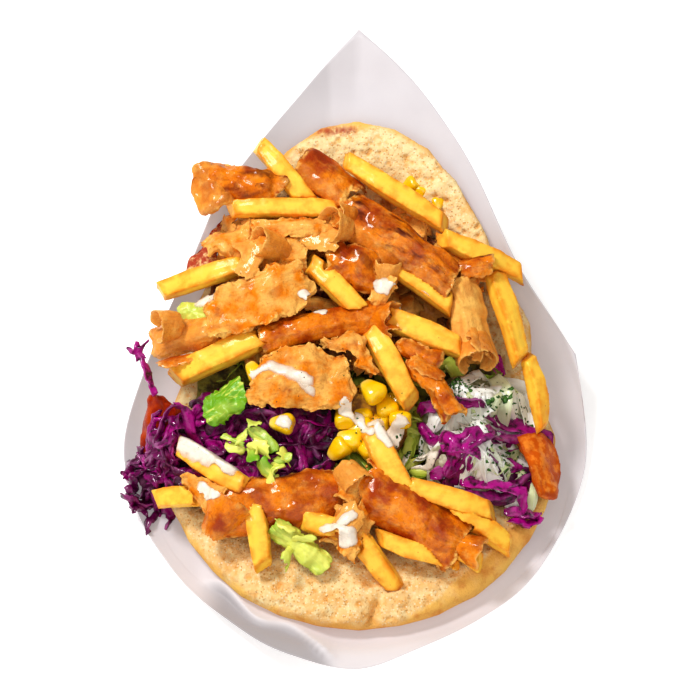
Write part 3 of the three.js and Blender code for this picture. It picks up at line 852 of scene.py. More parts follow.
class Curls(Pile):
    """Thin torn sheets, each a slab curled round its own axis."""

    def __init__(self, along, around):
        super().__init__(*slab_stock(along, around))

    def add(self, place, heading, pitch, roll, length, radius, span, **more):
        """Curls a sheet of this length and radius over `span` degrees, its middle at the place."""
        thick, flare = more.get("thick", 1.0) * MM, more.get("flare", 0.0)
        ragged, buckle = more.get("ragged", 1.1) * MM, more.get("buckle", 0.6) * MM
        seed = 5 + len(self.points)
        u, v, w = self.stock.T
        turn, up, lean = math.radians(heading), math.radians(pitch), math.radians(roll)
        axis = np.array(
            [math.cos(up) * math.cos(turn), math.cos(up) * math.sin(turn), math.sin(up)]
        )
        level = np.array([-math.sin(turn), math.cos(turn), 0.0])
        above = np.cross(axis, level)
        out = above * math.cos(lean) + level * math.sin(lean)
        beside = np.cross(axis, out)
        wide = math.radians(span)
        rim = np.maximum(np.abs(u), np.abs(v)) ** 9
        power = more.get("corner", 5.0)
        rounded = np.maximum(np.abs(u), np.abs(v)) / (
            (np.abs(u) ** power + np.abs(v) ** power) ** (1 / power) + 1e-9
        )
        u, v = u * rounded, v * rounded
        end = np.column_stack([v * wide * radius * MM / 2, np.sign(u) * 0.05, u * 0])
        edge = np.column_stack([u * length * MM / 2, np.sign(v) * 0.05 + 0.2, v * 0])
        tear_end = lumps(end, 1.3 * MM, seed) + lumps(end, 4 * MM, seed + 1)
        tear_edge = lumps(edge, 1.3 * MM, seed + 2) + lumps(edge, 5 * MM, seed + 3)
        along = u * length * MM / 2 + np.sign(u) * np.abs(u) ** 5 * ragged * tear_end
        angle = v * wide / 2 + np.sign(v) * np.abs(v) ** 5 * ragged * tear_edge / (radius * MM)
        far = radius * MM * (1 + flare * u + 0.12 * v) + w * thick * (1 - 0.7 * rim)
        shape = (
            np.array(place)
            - out * radius * MM
            + np.outer(along, axis)
            + np.outer(far * np.cos(angle), out)
            + np.outer(far * np.sin(angle), beside)
        )
        shape += drift(shape, 7 * MM, seed) * buckle + drift(shape, 2.2 * MM, seed + 9) * 0.22 * MM
        tone = more.get("tone", 0.5) + 0.3 * lumps(shape, 8 * MM, seed) + 0.25 * rim
        self.lay(
            shape,
            outside=(w > 0) * more.get("roast", 1.0),
            torn=rim,
            charred=np.full(len(u), more.get("charred", 0.1)),
            tone=np.clip(tone, 0, 1),
            along=np.column_stack([along, angle * radius * MM, w * thick]),
        )


def bridged(heights, rounds):
    """Heights along a line with the hollows filled, as a stiff strand spans them."""
    for _ in range(rounds):
        padded = np.pad(heights, 1, mode="edge")
        heights = np.maximum(heights, (padded[:-2] + padded[1:-1] + padded[2:]) / 3)
    return heights


def trail(surface, start, heading, length, bend, lift, arch, steps, rng):
    """A line over a surface from a start, turning by `bend` on the way, with a little waviness."""
    step = length / steps
    x, y = start.x, start.y
    turn = heading
    xy, heights = [], []
    last = None
    wave = rng.uniform(0, 6.28)
    for i in range(steps + 1):
        height = under(surface, x, y)
        if height is None:
            height = max(LOWEST, (last if last is not None else start.z) - 1.2 * step)
        if last is not None:
            height = max(height, last - 1.3 * step)
        last = height
        xy.append((x, y))
        heights.append(height)
        turn += bend / steps + 0.16 * math.sin(wave + 2.1 * i)
        x += step * math.cos(turn)
        y += step * math.sin(turn)
    heights = bridged(np.array(heights), 2)
    share = np.linspace(0, 1, steps + 1)
    heights = heights + lift + arch * np.sin(math.pi * share)
    return np.column_stack([np.array(xy), heights])


def path(surface, corners, steps, lift):
    """A line over a surface through the given places, rounded at its turns."""
    corners = np.array([(corner.x, corner.y) for corner in corners])
    gone = np.concatenate([[0], np.cumsum(np.linalg.norm(np.diff(corners, axis=0), axis=1))])
    at = np.linspace(0, gone[-1], steps + 1)
    line = np.column_stack([np.interp(at, gone, corners[:, k]) for k in (0, 1)])
    for _ in range(3):
        line[1:-1] = (line[:-2] + 2 * line[1:-1] + line[2:]) / 4
    heights = bridged(np.array([under(surface, x, y) or BESIDE for x, y in line]), 4)
    return np.column_stack([line, heights + lift])


def keeps_on(heap, line, rng, stray=0.1):
    """Whether both ends of a strand lie over its heap; a few may stray."""
    held = all(
        under(heap, point[0], point[1]) is not None
        for point in (line[0], line[-1], line[len(line) // 2])
    )
    return held or rng.random() < stray


def start_on(surface, node, rng):
    """A random place on a node's top."""
    while True:
        place = spot(node, rng.uniform(0, 1), rng.uniform(0, 1))
        height = under(surface, place.x, place.y)
        if height is not None:
            return Vector((place.x, place.y, height))


def sunk_core(node, name, depth, grain, seed):
    """What lies under the small things of a heap: its own outline, drawn in a little and lumpy."""
    core = copy_node(node, name)
    refine(core, grain, 4)
    points = places(core)
    out = facings(core)
    shift = lumps(points, 7 * MM, seed) * 1.1 * MM - depth
    put(core, points + out * shift[:, None])
    return core


# ---- Operators: one for each kind of piece ------------------------------------------


def settings():
    scene = bpy.context.scene
    return scene.doner_bakery, scene.doner_filling, scene.doner_salad


class Maker(bpy.types.Operator):
    """What every one of the making operators shares."""

    bl_idname = "doner.maker"
    bl_label = "Make"
    bl_options = {"REGISTER", "UNDO"}

    def execute(self, context):
        self.make(*settings())
        return {"FINISHED"}


class DONER_OT_paper(Maker):
    """Make the sheet of white paper, its corners drawn up round the bread"""

    bl_idname = "doner.paper"
    bl_label = "Serving paper"

    def make(self, bakery, filling, salad):
        sheet = copy_node("serving_paper", "white_serving_paper")
        points = places(sheet)
        tip = points[np.argmax(points[:, 1] + points[:, 2])]
        join = bpy.ops.mesh.tris_convert_to_quads
        edit_all(sheet, partial(join, face_threshold=ONE_FACE, shape_threshold=ONE_FACE))
        shape = bmesh.new()
        shape.from_mesh(sheet.data)
        crease = shape.edges.layers.float.new("crease_edge")
        for edge in shape.edges:
            if len(edge.link_faces) == 2 and edge.calc_face_angle(0) > SHARP:
                edge[crease] = 1.0
        shape.to_mesh(sheet.data)
        shape.free()
        modify(sheet, "SUBSURF", levels=3, render_levels=3, boundary_smooth="PRESERVE_CORNERS")
        points = places(sheet)
        back = ease(points[:, 1], 0.05, 0.12)
        line = tip[0] - 0.008 * ease(tip[1] - points[:, 1], 0.0, 0.09)
        fold = np.exp(-np.abs(points[:, 0] - line) / (26 * MM)) * back
        ripple = lumps(points, 34 * MM, 5) * bakery.ripple
        ripple = ripple + lumps(points, 15 * MM, 6) * bakery.ripple * 0.25
        away = np.array([0.0, 0.62, -0.78])
        low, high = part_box("flatbread")
        # The paper lies still under the bread and is bent only beyond it.
        across = points[:, 0] / (high.x - low.x)
        to_back = (points[:, 1] - (low.y + high.y) / 2) / (high.y - low.y)
        beyond = ease(np.hypot(across, to_back), 0.5, 0.6)
        points = points + away * (fold * 5 * MM * beyond)[:, None]
        points[:, 2] += ripple * beyond * (points[:, 2] > 2 * MM)
        # A fold at the front left: the inner layer stands up along a wavy line.
        share = (points[:, 0] - CAD_BOX[0].x) / (CAD_BOX[1].x - CAD_BOX[0].x)
        reach = share - 0.19
        line = CAD_BOX[0].y + (50 - 145 * reach + 3.5 * np.sin(reach * 42)) * MM
        past = line - points[:, 1]
        along = ease(share, 0.17, 0.24) * ease(-share, -0.47, -0.43)
        slope = np.exp(np.minimum(past, 0) / (12 * MM))
        raised = np.where(past < 0, slope, 1 - ease(past, 0, 5.5 * MM))
        points[:, 2] += along * raised * 5.0 * MM
        # Painted shade on the left half of the back corner.
        left_half_shade = back * 0.22 * (1 - ease(points[:, 0], tip[0] - 16 * MM, tip[0] - 12 * MM))
        points[:, 2] = np.maximum(points[:, 2], CAD_BOX[0].z)
        put(sheet, points)
        smooth(sheet)
        # Painted shade: darker past the fold at the front left and on the left half of the back
        # corner.
        shade = np.clip(along * ease(past, 0, 4.5 * MM) * 0.75 + left_half_shade, 0, 1)
        mark(sheet, "shade", shade)
        # Painted light: the paper glows more towards the front, except where painted shade lies.
        mark(sheet, "front", (1 - shade) * ease(-points[:, 1], 70 * MM, 110 * MM))
        dress(sheet, paper_finish(bakery), "paper", "serving_paper")


class DONER_OT_bread(Maker):
    """Make the flatbread: crust outside, open crumb inside"""

    bl_idname = "doner.bread"
    bl_label = "Flatbread"

    def make(self, bakery, filling, salad):
        bread = copy_node("flatbread", "round_flatbread")
        refine(bread, bakery.grain, 8)
        points, out = places(bread), facings(bread)
        low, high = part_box("flatbread")
        middle = np.array([(low.x + high.x) / 2, low.y * 0.5 + high.y * 0.5])
        # The rim is where the bread reaches furthest in each direction.
        offset = points[:, :2] - middle
        turn = np.degrees(np.arctan2(offset[:, 1], offset[:, 0])).astype(int) % 360
        far = np.hypot(offset[:, 0], offset[:, 1])
        rim = [
            Vector(points[np.flatnonzero(turn == d)[np.argmax(far[turn == d])]])
            for d in range(360) if (turn == d).any()
        ]
        near = closeness(bread, rim, 26 * MM)
        inner = ease(out[:, 2], -0.1, 0.25)
        # The crust folds over the rim further on the right at the front.
        to_right, to_front = ease(points[:, 0], 20 * MM, 55 * MM), ease(
            -points[:, 1], 50 * MM, 85 * MM
        )
        wide = 0.9 - 0.42 * to_right * to_front
        wide = wide + 0.07 * lumps(points, 9 * MM, 3)
        rim_crust = ease(near, wide, wide + 0.12)
        crumb = inner * (1 - rim_crust)
        rng = random.Random(4)
        inside = np.flatnonzero(crumb > 0.4)
        tree = KDTree(len(points))
        for i, p in enumerate(points):
            tree.insert(p, i)
        tree.balance()
        dent = np.zeros(len(points))
        for _ in range(bakery.pore_count):
            centre = points[inside[rng.randrange(len(inside))]]
            size = bakery.pore_size * rng.uniform(0.35, 1.0) ** 1.5
            size *= 2.2 if rng.random() < 0.02 else 1
            for _, i, gap in tree.find_range(centre, size):
                deep = (1 - (gap / size) ** 2) * bakery.pore_depth * size / bakery.pore_size
                dent[i] = max(dent[i], deep)
        torn = crumb * ease(-points[:, 1], 60 * MM, 80 * MM)
        height = crumb * (
            lumps(points, 13 * MM, 1) * 0.8 + lumps(points, 5 * MM, 2) * 0.6
            + lumps(points, 2.6 * MM, 5) * 0.45
        ) * MM
        height += torn * (lumps(points, 3 * MM, 7) * 0.5 + lumps(points, 7 * MM, 9) * 0.8) * MM
        height += (1 - crumb) * (
            lumps(points, 16 * MM, 8) * 0.6 + lumps(points, 4 * MM, 4) * 0.12
        ) * MM
        # A split in the front rim.
        split = np.array([9 * MM, low.y + 8 * MM])
        split_gap = np.abs(points[:, 0] - split[0] - (points[:, 1] - split[1]) * 0.25) / (2.4 * MM)
        outward = ease(-points[:, 1], -split[1] - 9 * MM, -split[1])
        split_depth = np.exp(-split_gap) * outward * inner
        height -= split_depth * 6 * MM
        put(bread, points + out * (height - dent * crumb)[:, None])
        wrap = bpy.data.objects["white_serving_paper"]
        hold_inside(bread, wrap, 0.3 * MM)
        smooth(bread)
        mark(bread, "crumb", np.clip(crumb - 0.5 * split_depth, 0, 1))
        # Painted shade: the pores and the split in the rim are marked for darker crumb.
        torn_open = split_depth * (0.5 + 0.5 * lumps(points, 1.5 * MM, 12))
        mark(bread, "pore", np.clip(dent * crumb / (1.8 * MM) + torn_open, 0, 0.75))
        # Darker crumb towards the front: partly toasting, partly painted shade.
        mark(bread, "front", 0.5 * ease(-points[:, 1], 55 * MM, 80 * MM))
        browned = 0.22 + 0.6 * ease(-out[:, 2], -0.2, 0.7) + 0.25 * lumps(points, 18 * MM, 11)
        mark(bread, "browned", np.clip(browned, 0, 1))
        # Chilli sauce has soaked into the back rim and the left edge.
        sunk = Vector((0, 0, -1.5 * MM))
        back_rim = [spot("flatbread", 0.40 + 0.02 * k, 0.975) + sunk for k in range(5)]
        back_stain = closeness(bread, back_rim, 4.5 * MM)
        left_edge = [
            Vector((low.x + (9 + k) * MM, low.y + (128 + 6 * k) * MM, 0.045 + 0.004 * k))
            for k in range(6)
        ]
        left_stain = closeness(bread, left_edge, 16 * MM)
        mark(bread, "chilli", np.clip(0.9 * back_stain + 1.4 * left_stain, 0, 1))
        material = bread_finish(bakery)
        dress(bread, material, "bread", "flatbread")
        # The left rim stands up beside the meat, red with chilli.
        flap = Curls(40, 40)
        place = spot("meat_flake_left", -0.06, 0.60) - Vector((0, 0, 20 * MM))
        flap.add(place, 66, 10, 40, 30, 13, 96, thick=5, ragged=1.4, buckle=1.4)
        flap = flap.piece("flatbread_left_rim")
        points = places(flap)
        put(flap, points + facings(flap) * (lumps(points, 4 * MM, 3) * 0.8 * MM)[:, None])
        hold_inside(flap, wrap, 0.6 * MM)
        # The flap's crumb carries some of the pores' painted shade all over.
        for key, value in (("crumb", 0.9), ("pore", 0.3), ("browned", 0.4), ("chilli", 0.94)):
            mark(flap, key, np.full(len(points), value))
        dress(flap, material, "bread")


class DONER_OT_beds(Maker):
    """Make what lies under the salad and the meat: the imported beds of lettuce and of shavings"""

    bl_idname = "doner.beds"
    bl_label = "Beds of the filling"

    def make(self, bakery, filling, salad):
        # Painted shade: the beds are dark sheets seen between what lies on them.
        green = sunk_core("salad_bed", "packed_salad", 2.5 * MM, 1.6 * MM, 3)
        leafy = bed_finish("Packed salad shade", paint(70, 60, 20), paint(150, 150, 60))
        dress(green, leafy, "lettuce", "salad_bed")
        brown = sunk_core("meat_bed", "packed_meat", 1.5 * MM, 1.4 * MM, 4)
        meaty = bed_finish("Packed meat shade", paint(110, 50, 20), paint(200, 140, 84))
        dress(brown, meaty, "meat", "meat_bed")
        surface = surface_of("salad_bed", "flatbread", "serving_paper")
        heap = surface_of("salad_bed")
        rng = random.Random(21)
        shreds = Shreds(8, 10)
        for _ in range(210):
            start = start_on(heap, "salad_bed", rng)
            long, bend = rng.uniform(12, 30) * MM, rng.uniform(-1.5, 1.5)
            lift, arch = rng.uniform(-1, 5) * MM, rng.uniform(0, 4) * MM
            line = trail(surface, start, rng.uniform(0, 6.28), long, bend, lift, arch, 10, rng)
            if keeps_on(heap, line, rng, 0.03):
                shreds.add(
                    line,
                    rng.uniform(4, 9) * MM,
                    0.8 * MM,
                    rng.uniform(-0.7, 0.7),
                    rng.uniform(-1.6, 1.6),
                    rng.uniform(0, 0.75),
                    0.3,
                    rng.uniform(-0.2, 0.2),
                )
        leaves = shreds.piece("shredded_lettuce")
        points = places(leaves)
        put(leaves, points + drift(points, 3.5 * MM, 4) * 0.8 * MM)
        dress(leaves, leaf_finish(salad), "lettuce")
        surface = surface_of("meat_bed", "salad_bed", "flatbread")
        heap = surface_of("meat_bed")
        bits = Curls(14, 10)
        for _ in range(90):
            start = start_on(heap, "meat_bed", rng)
            bits.add(
                start + Vector((0, 0, rng.uniform(0.5, 7) * MM)),
                rng.uniform(0, 360),
                rng.uniform(-25, 25),
                rng.uniform(-35, 35),
                rng.uniform(9, 22),
                rng.uniform(5, 12),
                rng.uniform(40, 130),
                thick=rng.uniform(1, 1.8),
                ragged=2.2,
                buckle=1.2,
                charred=0.4,
                roast=rng.uniform(0, 1),
            )
        dress(bits.piece("meat_scraps"), meat_finish("Meat scraps", filling, True, 0.26), "meat")


class DONER_OT_chips(Maker):
    """Make the fried chips, crisp and browner at their edges and tips"""

    bl_idname = "doner.chips"
    bl_label = "Chips"

    def make(self, bakery, filling, salad):
        material = chip_finish(filling)
        for number, node in enumerate(CHIP_NODES):
            chip = copy_node(node, "fried_" + node)
            line = sharp_line(chip, math.radians(38))
            refine(chip, filling.chip_grain, 3)
            points, out = places(chip), facings(chip)
            middle, axes = own_axes(points)
            own = (points - middle) @ axes
            reach = np.abs(own[:, 0]).max()
            edge = closeness(chip, line, 3.2 * MM)
            tip = ease(np.abs(own[:, 0]) / reach, 0.82, 1.0)
            blister = lumps(points, 6 * MM, number) * 0.25
            blister = blister + lumps(points, 2.2 * MM, number + 50) * 0.1
            sunk = -0.3 * (1 - edge)  # the soft inside shrinks between the crisp edges
            shifted = points + out * ((blister + sunk) * MM)[:, None]
            shifted += drift(points, 14 * MM, number + 7) * 0.5 * MM
            put(chip, shifted)
            smooth(chip)
            mark(chip, "edge", edge)
            mark(chip, "tip", np.clip(tip * (0.4 + 0.6 * edge), 0, 1))
            mark(chip, "along", own)
            dress(chip, material, "chips", node)


# Shavings that the fire has caught less: how far they are roasted.
LIGHTLY_ROASTED = {
    "meat_slab_back": 0.5,
    "meat_half_roll_left": 0.42,
    "meat_roll_right": 0.04,
    "meat_slab_front": 0.85,
}

# How far the middle of each broad shaving stands up, in millimetres.
BULGES = {"meat_leaf": 3.0, "meat_slab_mid": 2.0, "meat_flake_wide": 1.5, "meat_cube": 3.0}

# Broad shavings laid as thick curled sheets in place of their nodes, listed as the curls are below.
SHEETS = {
    "meat_slab_back": [
        (0.30, 0.52, 3, 104, 10, -4, 25, 10.0, 125,
         {"thick": 3.0, "corner": 3.0, "ragged": 0.8, "buckle": 2.0, "roast": 0.4,
          "charred": 0.45}),
        (0.62, 0.60, 1, -12, 4, -16, 37, 9.5, 100,
         {"thick": 3.0, "corner": 3.4, "ragged": 0.8, "buckle": 1.8, "roast": 0.95,
          "charred": 0.8}),
    ],
}

# Rolls roasted on their upper side alone.
HALF_ROASTED = ("meat_roll_top", "meat_half_roll_left", "meat_slab_back", "meat_fold_back")

# Thin torn curls at the mouths of the rolls and between the shavings: the node each lies by,
# its place as shares of that node's box and millimetres under its top, then its heading,
# pitch, roll, length, radius and the degrees that it curls over.
CURLS = [
    ("meat_roll_top", 0.16, 0.60, 0, 200, 38, 0, 11, 7.6, 325,
     {"flare": 0.12, "roast": 0.25, "ragged": 0.8}),
    ("meat_roll_top", 0.19, 0.60, 3, 200, 38, 60, 12, 4.8, 190, {"flare": 0.1, "roast": 0.6}),
    ("meat_roll_mid", 0.90, 0.66, 0, -12, 24, 15, 12, 7.0, 250, {"flare": 0.3, "roast": 0.9}),
    ("meat_roll_mid", 0.99, 0.40, 3, -40, 25, 50, 12, 5.0, 110, {"roast": 0.9}),
    ("meat_ribbon", 0.54, 0.46, -3, 182, 40, -10, 19, 6.4, 325,
     {"flare": 0.1, "roast": 0.4, "ragged": 0.8}),
    ("meat_ribbon", 0.06, 0.02, 0, 246, -20, -20, 18, 9.0, 66, {"flare": 0.1, "roast": 0.15}),
    ("meat_roll_right", 0.62, 0.16, 9, -82, 8, 6, 16, 8.0, 320, {"flare": 0.14, "roast": 0.35}),
    ("meat_roll_right", 0.66, 0.14, 12, -80, 8, 90, 14, 4.6, 200, {"roast": 0.4}),
    ("meat_scrap", 0.55, 0.70, 0, 80, 50, 0, 11, 5.5, 190, {"flare": 0.2, "roast": 0.15}),
    ("meat_fold_front", 0.45, 0.70, 0, -58, 16, 0, 14, 6.5, 270, {"flare": 0.1, "roast": 0.2}),
    ("meat_roll_front", 0.92, 0.20, 9, -24, 6, 0, 15, 6.0, 250, {"flare": 0.15, "roast": 0.9}),
    ("meat_flake_wide", 0.86, 0.36, 0, -20, 8, -14, 18, 14.0, 60, {"roast": 0.15}),
    ("meat_flake_left", 0.74, 0.20, 0, 20, -6, 0, 20, 9.0, 90, {"roast": 0.15}),
    ("chip_side_top", 0.44, 0.16, 6, 8, 10, 10, 16, 5.5, 150, {"roast": 1.0, "charred": 1.0}),
    ("meat_half_roll_left", 0.25, 0.44, 1, 200, 20, 10, 11, 6.8, 300,
     {"flare": 0.16, "roast": 0.3, "ragged": 0.8}),
    ("meat_strip_sauced", 0.68, 0.10, -2, 236, -20, 0, 20, 8.0, 160,
     {"flare": -0.5, "roast": 1.0, "thick": 1.8, "ragged": 0.7}),
    ("meat_half_roll_left", 0.50, -0.10, 13, 10, 4, 30, 42, 7.0, 70, {"roast": 0.9}),
    ("meat_half_roll_left", 0.66, -0.02, 15, 14, 2, 10, 34, 6.0, 80, {"roast": 0.6}),
    ("meat_fold_small", 0.65, 0.10, 3, -30, -10, 30, 16, 6.0, 110, {"roast": 0.8}),
    ("meat_strip_low", 0.40, 0.70, 1, -50, -6, 10, 20, 5.5, 120, {"roast": 0.9}),
    ("meat_strip_low", 0.70, 0.30, 2, -62, -6, 10, 18, 4.0, 150, {"roast": 0.9}),
    ("meat_flake_front", 0.50, 0.60, -1, 60, 10, 0, 14, 8.0, 90, {"roast": 0.1}),
]


class DONER_OT_meat(Maker):
    """Make the shavings of meat, roasted outside and pale inside, with torn edges"""

    bl_idname = "doner.meat"
    bl_label = "Meat shavings"

    def make(self, bakery, filling, salad):
        roast = meat_finish("Roasted meat", filling, False, 0.5)
        pale = meat_finish("Pale meat", filling, True, 0.16)
        soft = meat_finish("Soft broad meat", filling, False, 0.25)
        for number, node in enumerate([*ROAST_NODES, *PALE_NODES]):
            if node in SHEETS:
                continue
            shaving = copy_node(node, node.replace("meat_", "carved_"))
            line = sharp_line(shaving, math.radians(55))
            refine(shaving, filling.meat_grain, 5)
            points, out = places(shaving), facings(shaving)
            middle, axes = own_axes(points)
            own = (points - middle) @ axes
            torn = closeness(shaving, line, 4.5 * MM)
            if node in BULGES:
                # A broad shaving is rounded at its corners and domed.
                half = np.abs(own).max(axis=0)
                u, v = np.abs(own[:, 0] / half[0]) + 1e-6, np.abs(own[:, 1] / half[1]) + 1e-6
                corner = np.maximum(u, v) / (u ** 3.5 + v ** 3.5) ** (1 / 3.5)
                own[:, :2] *= corner[:, None]
                points = middle + own @ axes.T
                points[:, 2] += BULGES[node] * MM * (1 - u ** 2) * (1 - v ** 2)
            axis = axes[:, 0]
            spoke = points - middle + np.array([0, 0, 5 * MM])
            spoke -= np.outer(spoke @ axis, axis)
            spoke /= np.linalg.norm(spoke, axis=1)[:, None] + 1e-9
            outside = ease(np.einsum("ij,ij->i", spoke, out), -0.15, 0.4)
            if node in HALF_ROASTED:
                outside *= 0.5 + 0.5 * ease(out @ np.array([0.1, 0.75, 0.6]), 0.05, 0.6)
            stretched = own * np.array([0.35, 1.0, 1.0])
            fine, broad = lumps(stretched, 2.2 * MM, number), lumps(points, 6.5 * MM, number + 3)
            crisp = lumps(points, 1.9 * MM, number + 9) * 0.16
            height = (fine * 0.16 + broad * 0.4 + crisp - 0.75 * torn) * MM
            shifted = points + out * height[:, None]
            # A pale shaving is softer: it waves, pleats, ruffles and frays more.
            roasted = node in ROAST_NODES
            wave, pleat, ruffle, fray = (1.0, 0.3, 1, 1.0) if roasted else (2.0, 0.75, 1.7, 1.5)
            pleats = np.sin(own[:, 0] / (1.7 * MM) + 3 * lumps(points, 9 * MM, number + 70))
            pleats = pleats * lumps(points, 12 * MM, number + 80)
            shifted[:, 2] += lumps(points, 15 * MM, number + 60) * wave * MM
            shifted[:, 2] += pleats * pleat * MM
            shifted += drift(points, 11 * MM, number + 20) * filling.ruffle * ruffle
            coarse = (0.2 + 0.9 * fray * torn)[:, None]
            shifted += drift(points, 5 * MM, number + 30) * coarse * MM
            shifted += drift(points, 1.6 * MM, number + 40) * (0.65 * fray * torn)[:, None] * MM
            put(shaving, shifted)
            smooth(shaving)
            # Painted shade: low places in the shaving's relief are marked to be darkened.
            shaded_hollows = -fine - 1.2 * broad
            mark(shaving, "sunk", 0.55 * ease(shaded_hollows, 0.3, 1.3))
            mark(shaving, "outside", outside * LIGHTLY_ROASTED.get(node, 1.0))
            mark(shaving, "torn", ease(torn, 0.35, 0.85))
            mark(shaving, "charred", np.full(len(points), ROAST_NODES.get(node, 0.1)))
            mark(shaving, "along", own)
            dress(shaving, roast if roasted else pale, "meat", node)
        for node, leaves in SHEETS.items():
            sheet = Curls(60, 60)
            for across, along, drop, *curl, more in leaves:
                sheet.add(spot(node, across, along) - Vector((0, 0, drop * MM)), *curl, **more)
            sheet = sheet.piece(node.replace("meat_", "carved_"))
            points = places(sheet)
            fine, broad = lumps(points, 3.2 * MM, 4), lumps(points, 8 * MM, 5)
            # Painted shade: the sheet's low places are marked to be darkened.
            mark(sheet, "sunk", 0.6 * ease(-fine - broad, 0.1, 1.0))
            put(sheet, points + facings(sheet) * ((fine * 0.3 + broad * 1.3) * MM)[:, None])
            dress(sheet, soft, "meat", node)
        curls = Curls(30, 50)
        for node, across, along, drop, *curl, more in CURLS:
            place = spot(node, across, along)
            curls.add(place - Vector((0, 0, drop * MM)), *curl, **more)
        dress(curls.piece("meat_curls"), meat_finish("Curled meat", filling, False, 0.4), "meat")


class DONER_OT_cabbage(Maker):
    """Make the two heaps of shredded red cabbage"""

    bl_idname = "doner.cabbage"
    bl_label = "Red cabbage"

    def make(self, bakery, filling, salad):
        rng = random.Random(7)
        dark = bed_finish("Cabbage shade", paint(28, 3, 20), paint(84, 6, 58))
        pale = bed_finish("Pale shade", paint(150, 140, 110), paint(230, 226, 200))
        shreds = Shreds(8, 16)
        heaps = {
            "cabbage_left": (salad.strand_count, dark, (11, 30), 1.0),
            "cabbage_right": (salad.strand_count // 8, pale, (18, 34), 1.3),
        }
        for node, (count, shade, lengths, stout) in heaps.items():
            core = sunk_core(node, node + "_core", 3.6 * MM, 1.3 * MM, 6)
            dress(core, shade, "cabbage", node)
            surface = surface_of(node, "flatbread", "serving_paper", "tomato_left")
            heap = surface_of(node)
            made = 0
            while made < count:
                start = start_on(heap, node, rng)
                heading = rng.gauss(0.3, 0.8) + (math.pi if rng.random() < 0.5 else 0)
                long, bend = rng.uniform(*lengths) * MM, rng.uniform(-1.8, 1.8)
                lift, arch = rng.uniform(-1.2, 3.2) * MM, rng.uniform(-0.5, 3.5) * MM
                line = trail(surface, start, heading, long, bend, lift, arch, 16, rng)
                if not keeps_on(heap, line, rng, 0.04):
                    continue
                made += 1
                width = salad.strand_width * rng.uniform(0.55, 1.3) * stout
                shreds.add(
                    line,
                    width,
                    width * rng.uniform(0.26, 0.42),
                    rng.uniform(-0.9, 0.9),
                    rng.uniform(-2.2, 2.2),
                    rng.random(),
                    0.45,
                    rng.uniform(-0.26, 0.26),
                )
        # More shreds hang over the left end of the heap, where it meets the paper.
        left = surface_of("cabbage_left", "tomato_left", "flatbread", "serving_paper")
        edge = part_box("cabbage_left")[0].x - 3 * MM
        for _ in range(40):
            corner = spot("cabbage_left", rng.uniform(0.0, 0.2), rng.uniform(0.04, 0.5))
            ahead = corner + Vector(
                (rng.uniform(-1, 1), rng.uniform(-1, 1), 0)
            ).normalized() * rng.uniform(7, 13) * MM
            ahead.x = max(ahead.x, edge)
            aside = (corner + ahead) / 2 + Vector((rng.uniform(-3, 3), rng.uniform(-3, 3), 0)) * MM
            line = path(left, [corner, aside, ahead], 16, rng.uniform(0, 4) * MM)
            shreds.add(
                line,
                rng.uniform(4, 6) * MM,
                1.8 * MM,
                rng.uniform(-0.8, 0.8),
                rng.uniform(-2, 2),
                rng.random(),
                0.5,
                rng.uniform(-0.25, 0.25),
            )
        # Broad shreds lie over the onion: places as shares of the heap's box, width in millimetres.
        over = surface_of("cabbage_right", "onion_heap", "flatbread")
        for corners, width in (
            (((-0.02, 1.26), (0.22, 1.34), (0.48, 1.30)), 6.0),
            (((-0.02, 1.16), (0.10, 0.86), (0.26, 0.60), (0.20, 0.36)), 6.5),
            (((0.46, 1.22), (0.66, 1.28), (0.90, 1.12), (1.0, 1.0)), 8.0),
            (((0.92, 1.06), (0.70, 1.0), (0.50, 0.80), (0.34, 0.52)), 9.0),
            (((0.52, 0.92), (0.36, 0.66), (0.24, 0.42), (0.06, 0.34)), 7.5),
            (((0.30, 0.24), (0.56, 0.26), (0.78, 0.14), (0.74, -0.04)), 5.5),
            (((0.60, -0.02), (0.76, -0.08), (0.90, -0.04)), 4.6),
            (((0.64, -0.16), (0.78, -0.20), (0.90, -0.10)), 4.6),
            (((0.04, 0.20), (0.20, 0.10), (0.36, 0.12)), 6.0),
            (((0.54, 2.46), (0.60, 2.30), (0.62, 2.10)), 6.0),
        ):
            corners = [spot("cabbage_right", *corner) for corner in corners]
            line = path(over, corners, 16, 4.4 * MM)
            shreds.add(
                line,
                width * MM,
                2.2 * MM,
                rng.uniform(-0.5, 0.5),
                rng.uniform(-1, 1),
                rng.uniform(0.5, 1),
                0.55,
                rng.choice((-0.28, 0.28)),
            )
        # A sprig stands up at the left.
        base = spot("tomato_left", 0.4, 0.8)
        sprig = [
            base + Vector((-7 * MM * t, 17 * MM * t, (3 + 4 * t) * MM))
            for t in np.linspace(-0.1, 1, 17)
        ]
        shreds.add(sprig, 5 * MM, 2 * MM, 0.3, 0.9, 0.9, 0.3, 0.2)
        for turn in (1.0, -0.7, 0.2):
            fork = [
                sprig[-1] + Vector((math.cos(1.9 + turn), math.sin(1.9 + turn), 0.3)) * 7 * MM * t
                for t in np.linspace(-0.5, 1, 17)
            ]
            shreds.add(fork, 3.0 * MM, 2.2 * MM, 0.3, 0.5, 0.8, 0.7)
        wrinkled = shreds.piece("shredded_red_cabbage")
        points = places(wrinkled)
        put(
            wrinkled,
            points + drift(points, 5 * MM, 2) * 1.3 * MM + drift(points, 2.2 * MM, 3) * 0.7 * MM,
        )
        dress(wrinkled, cabbage_finish(salad), "cabbage")


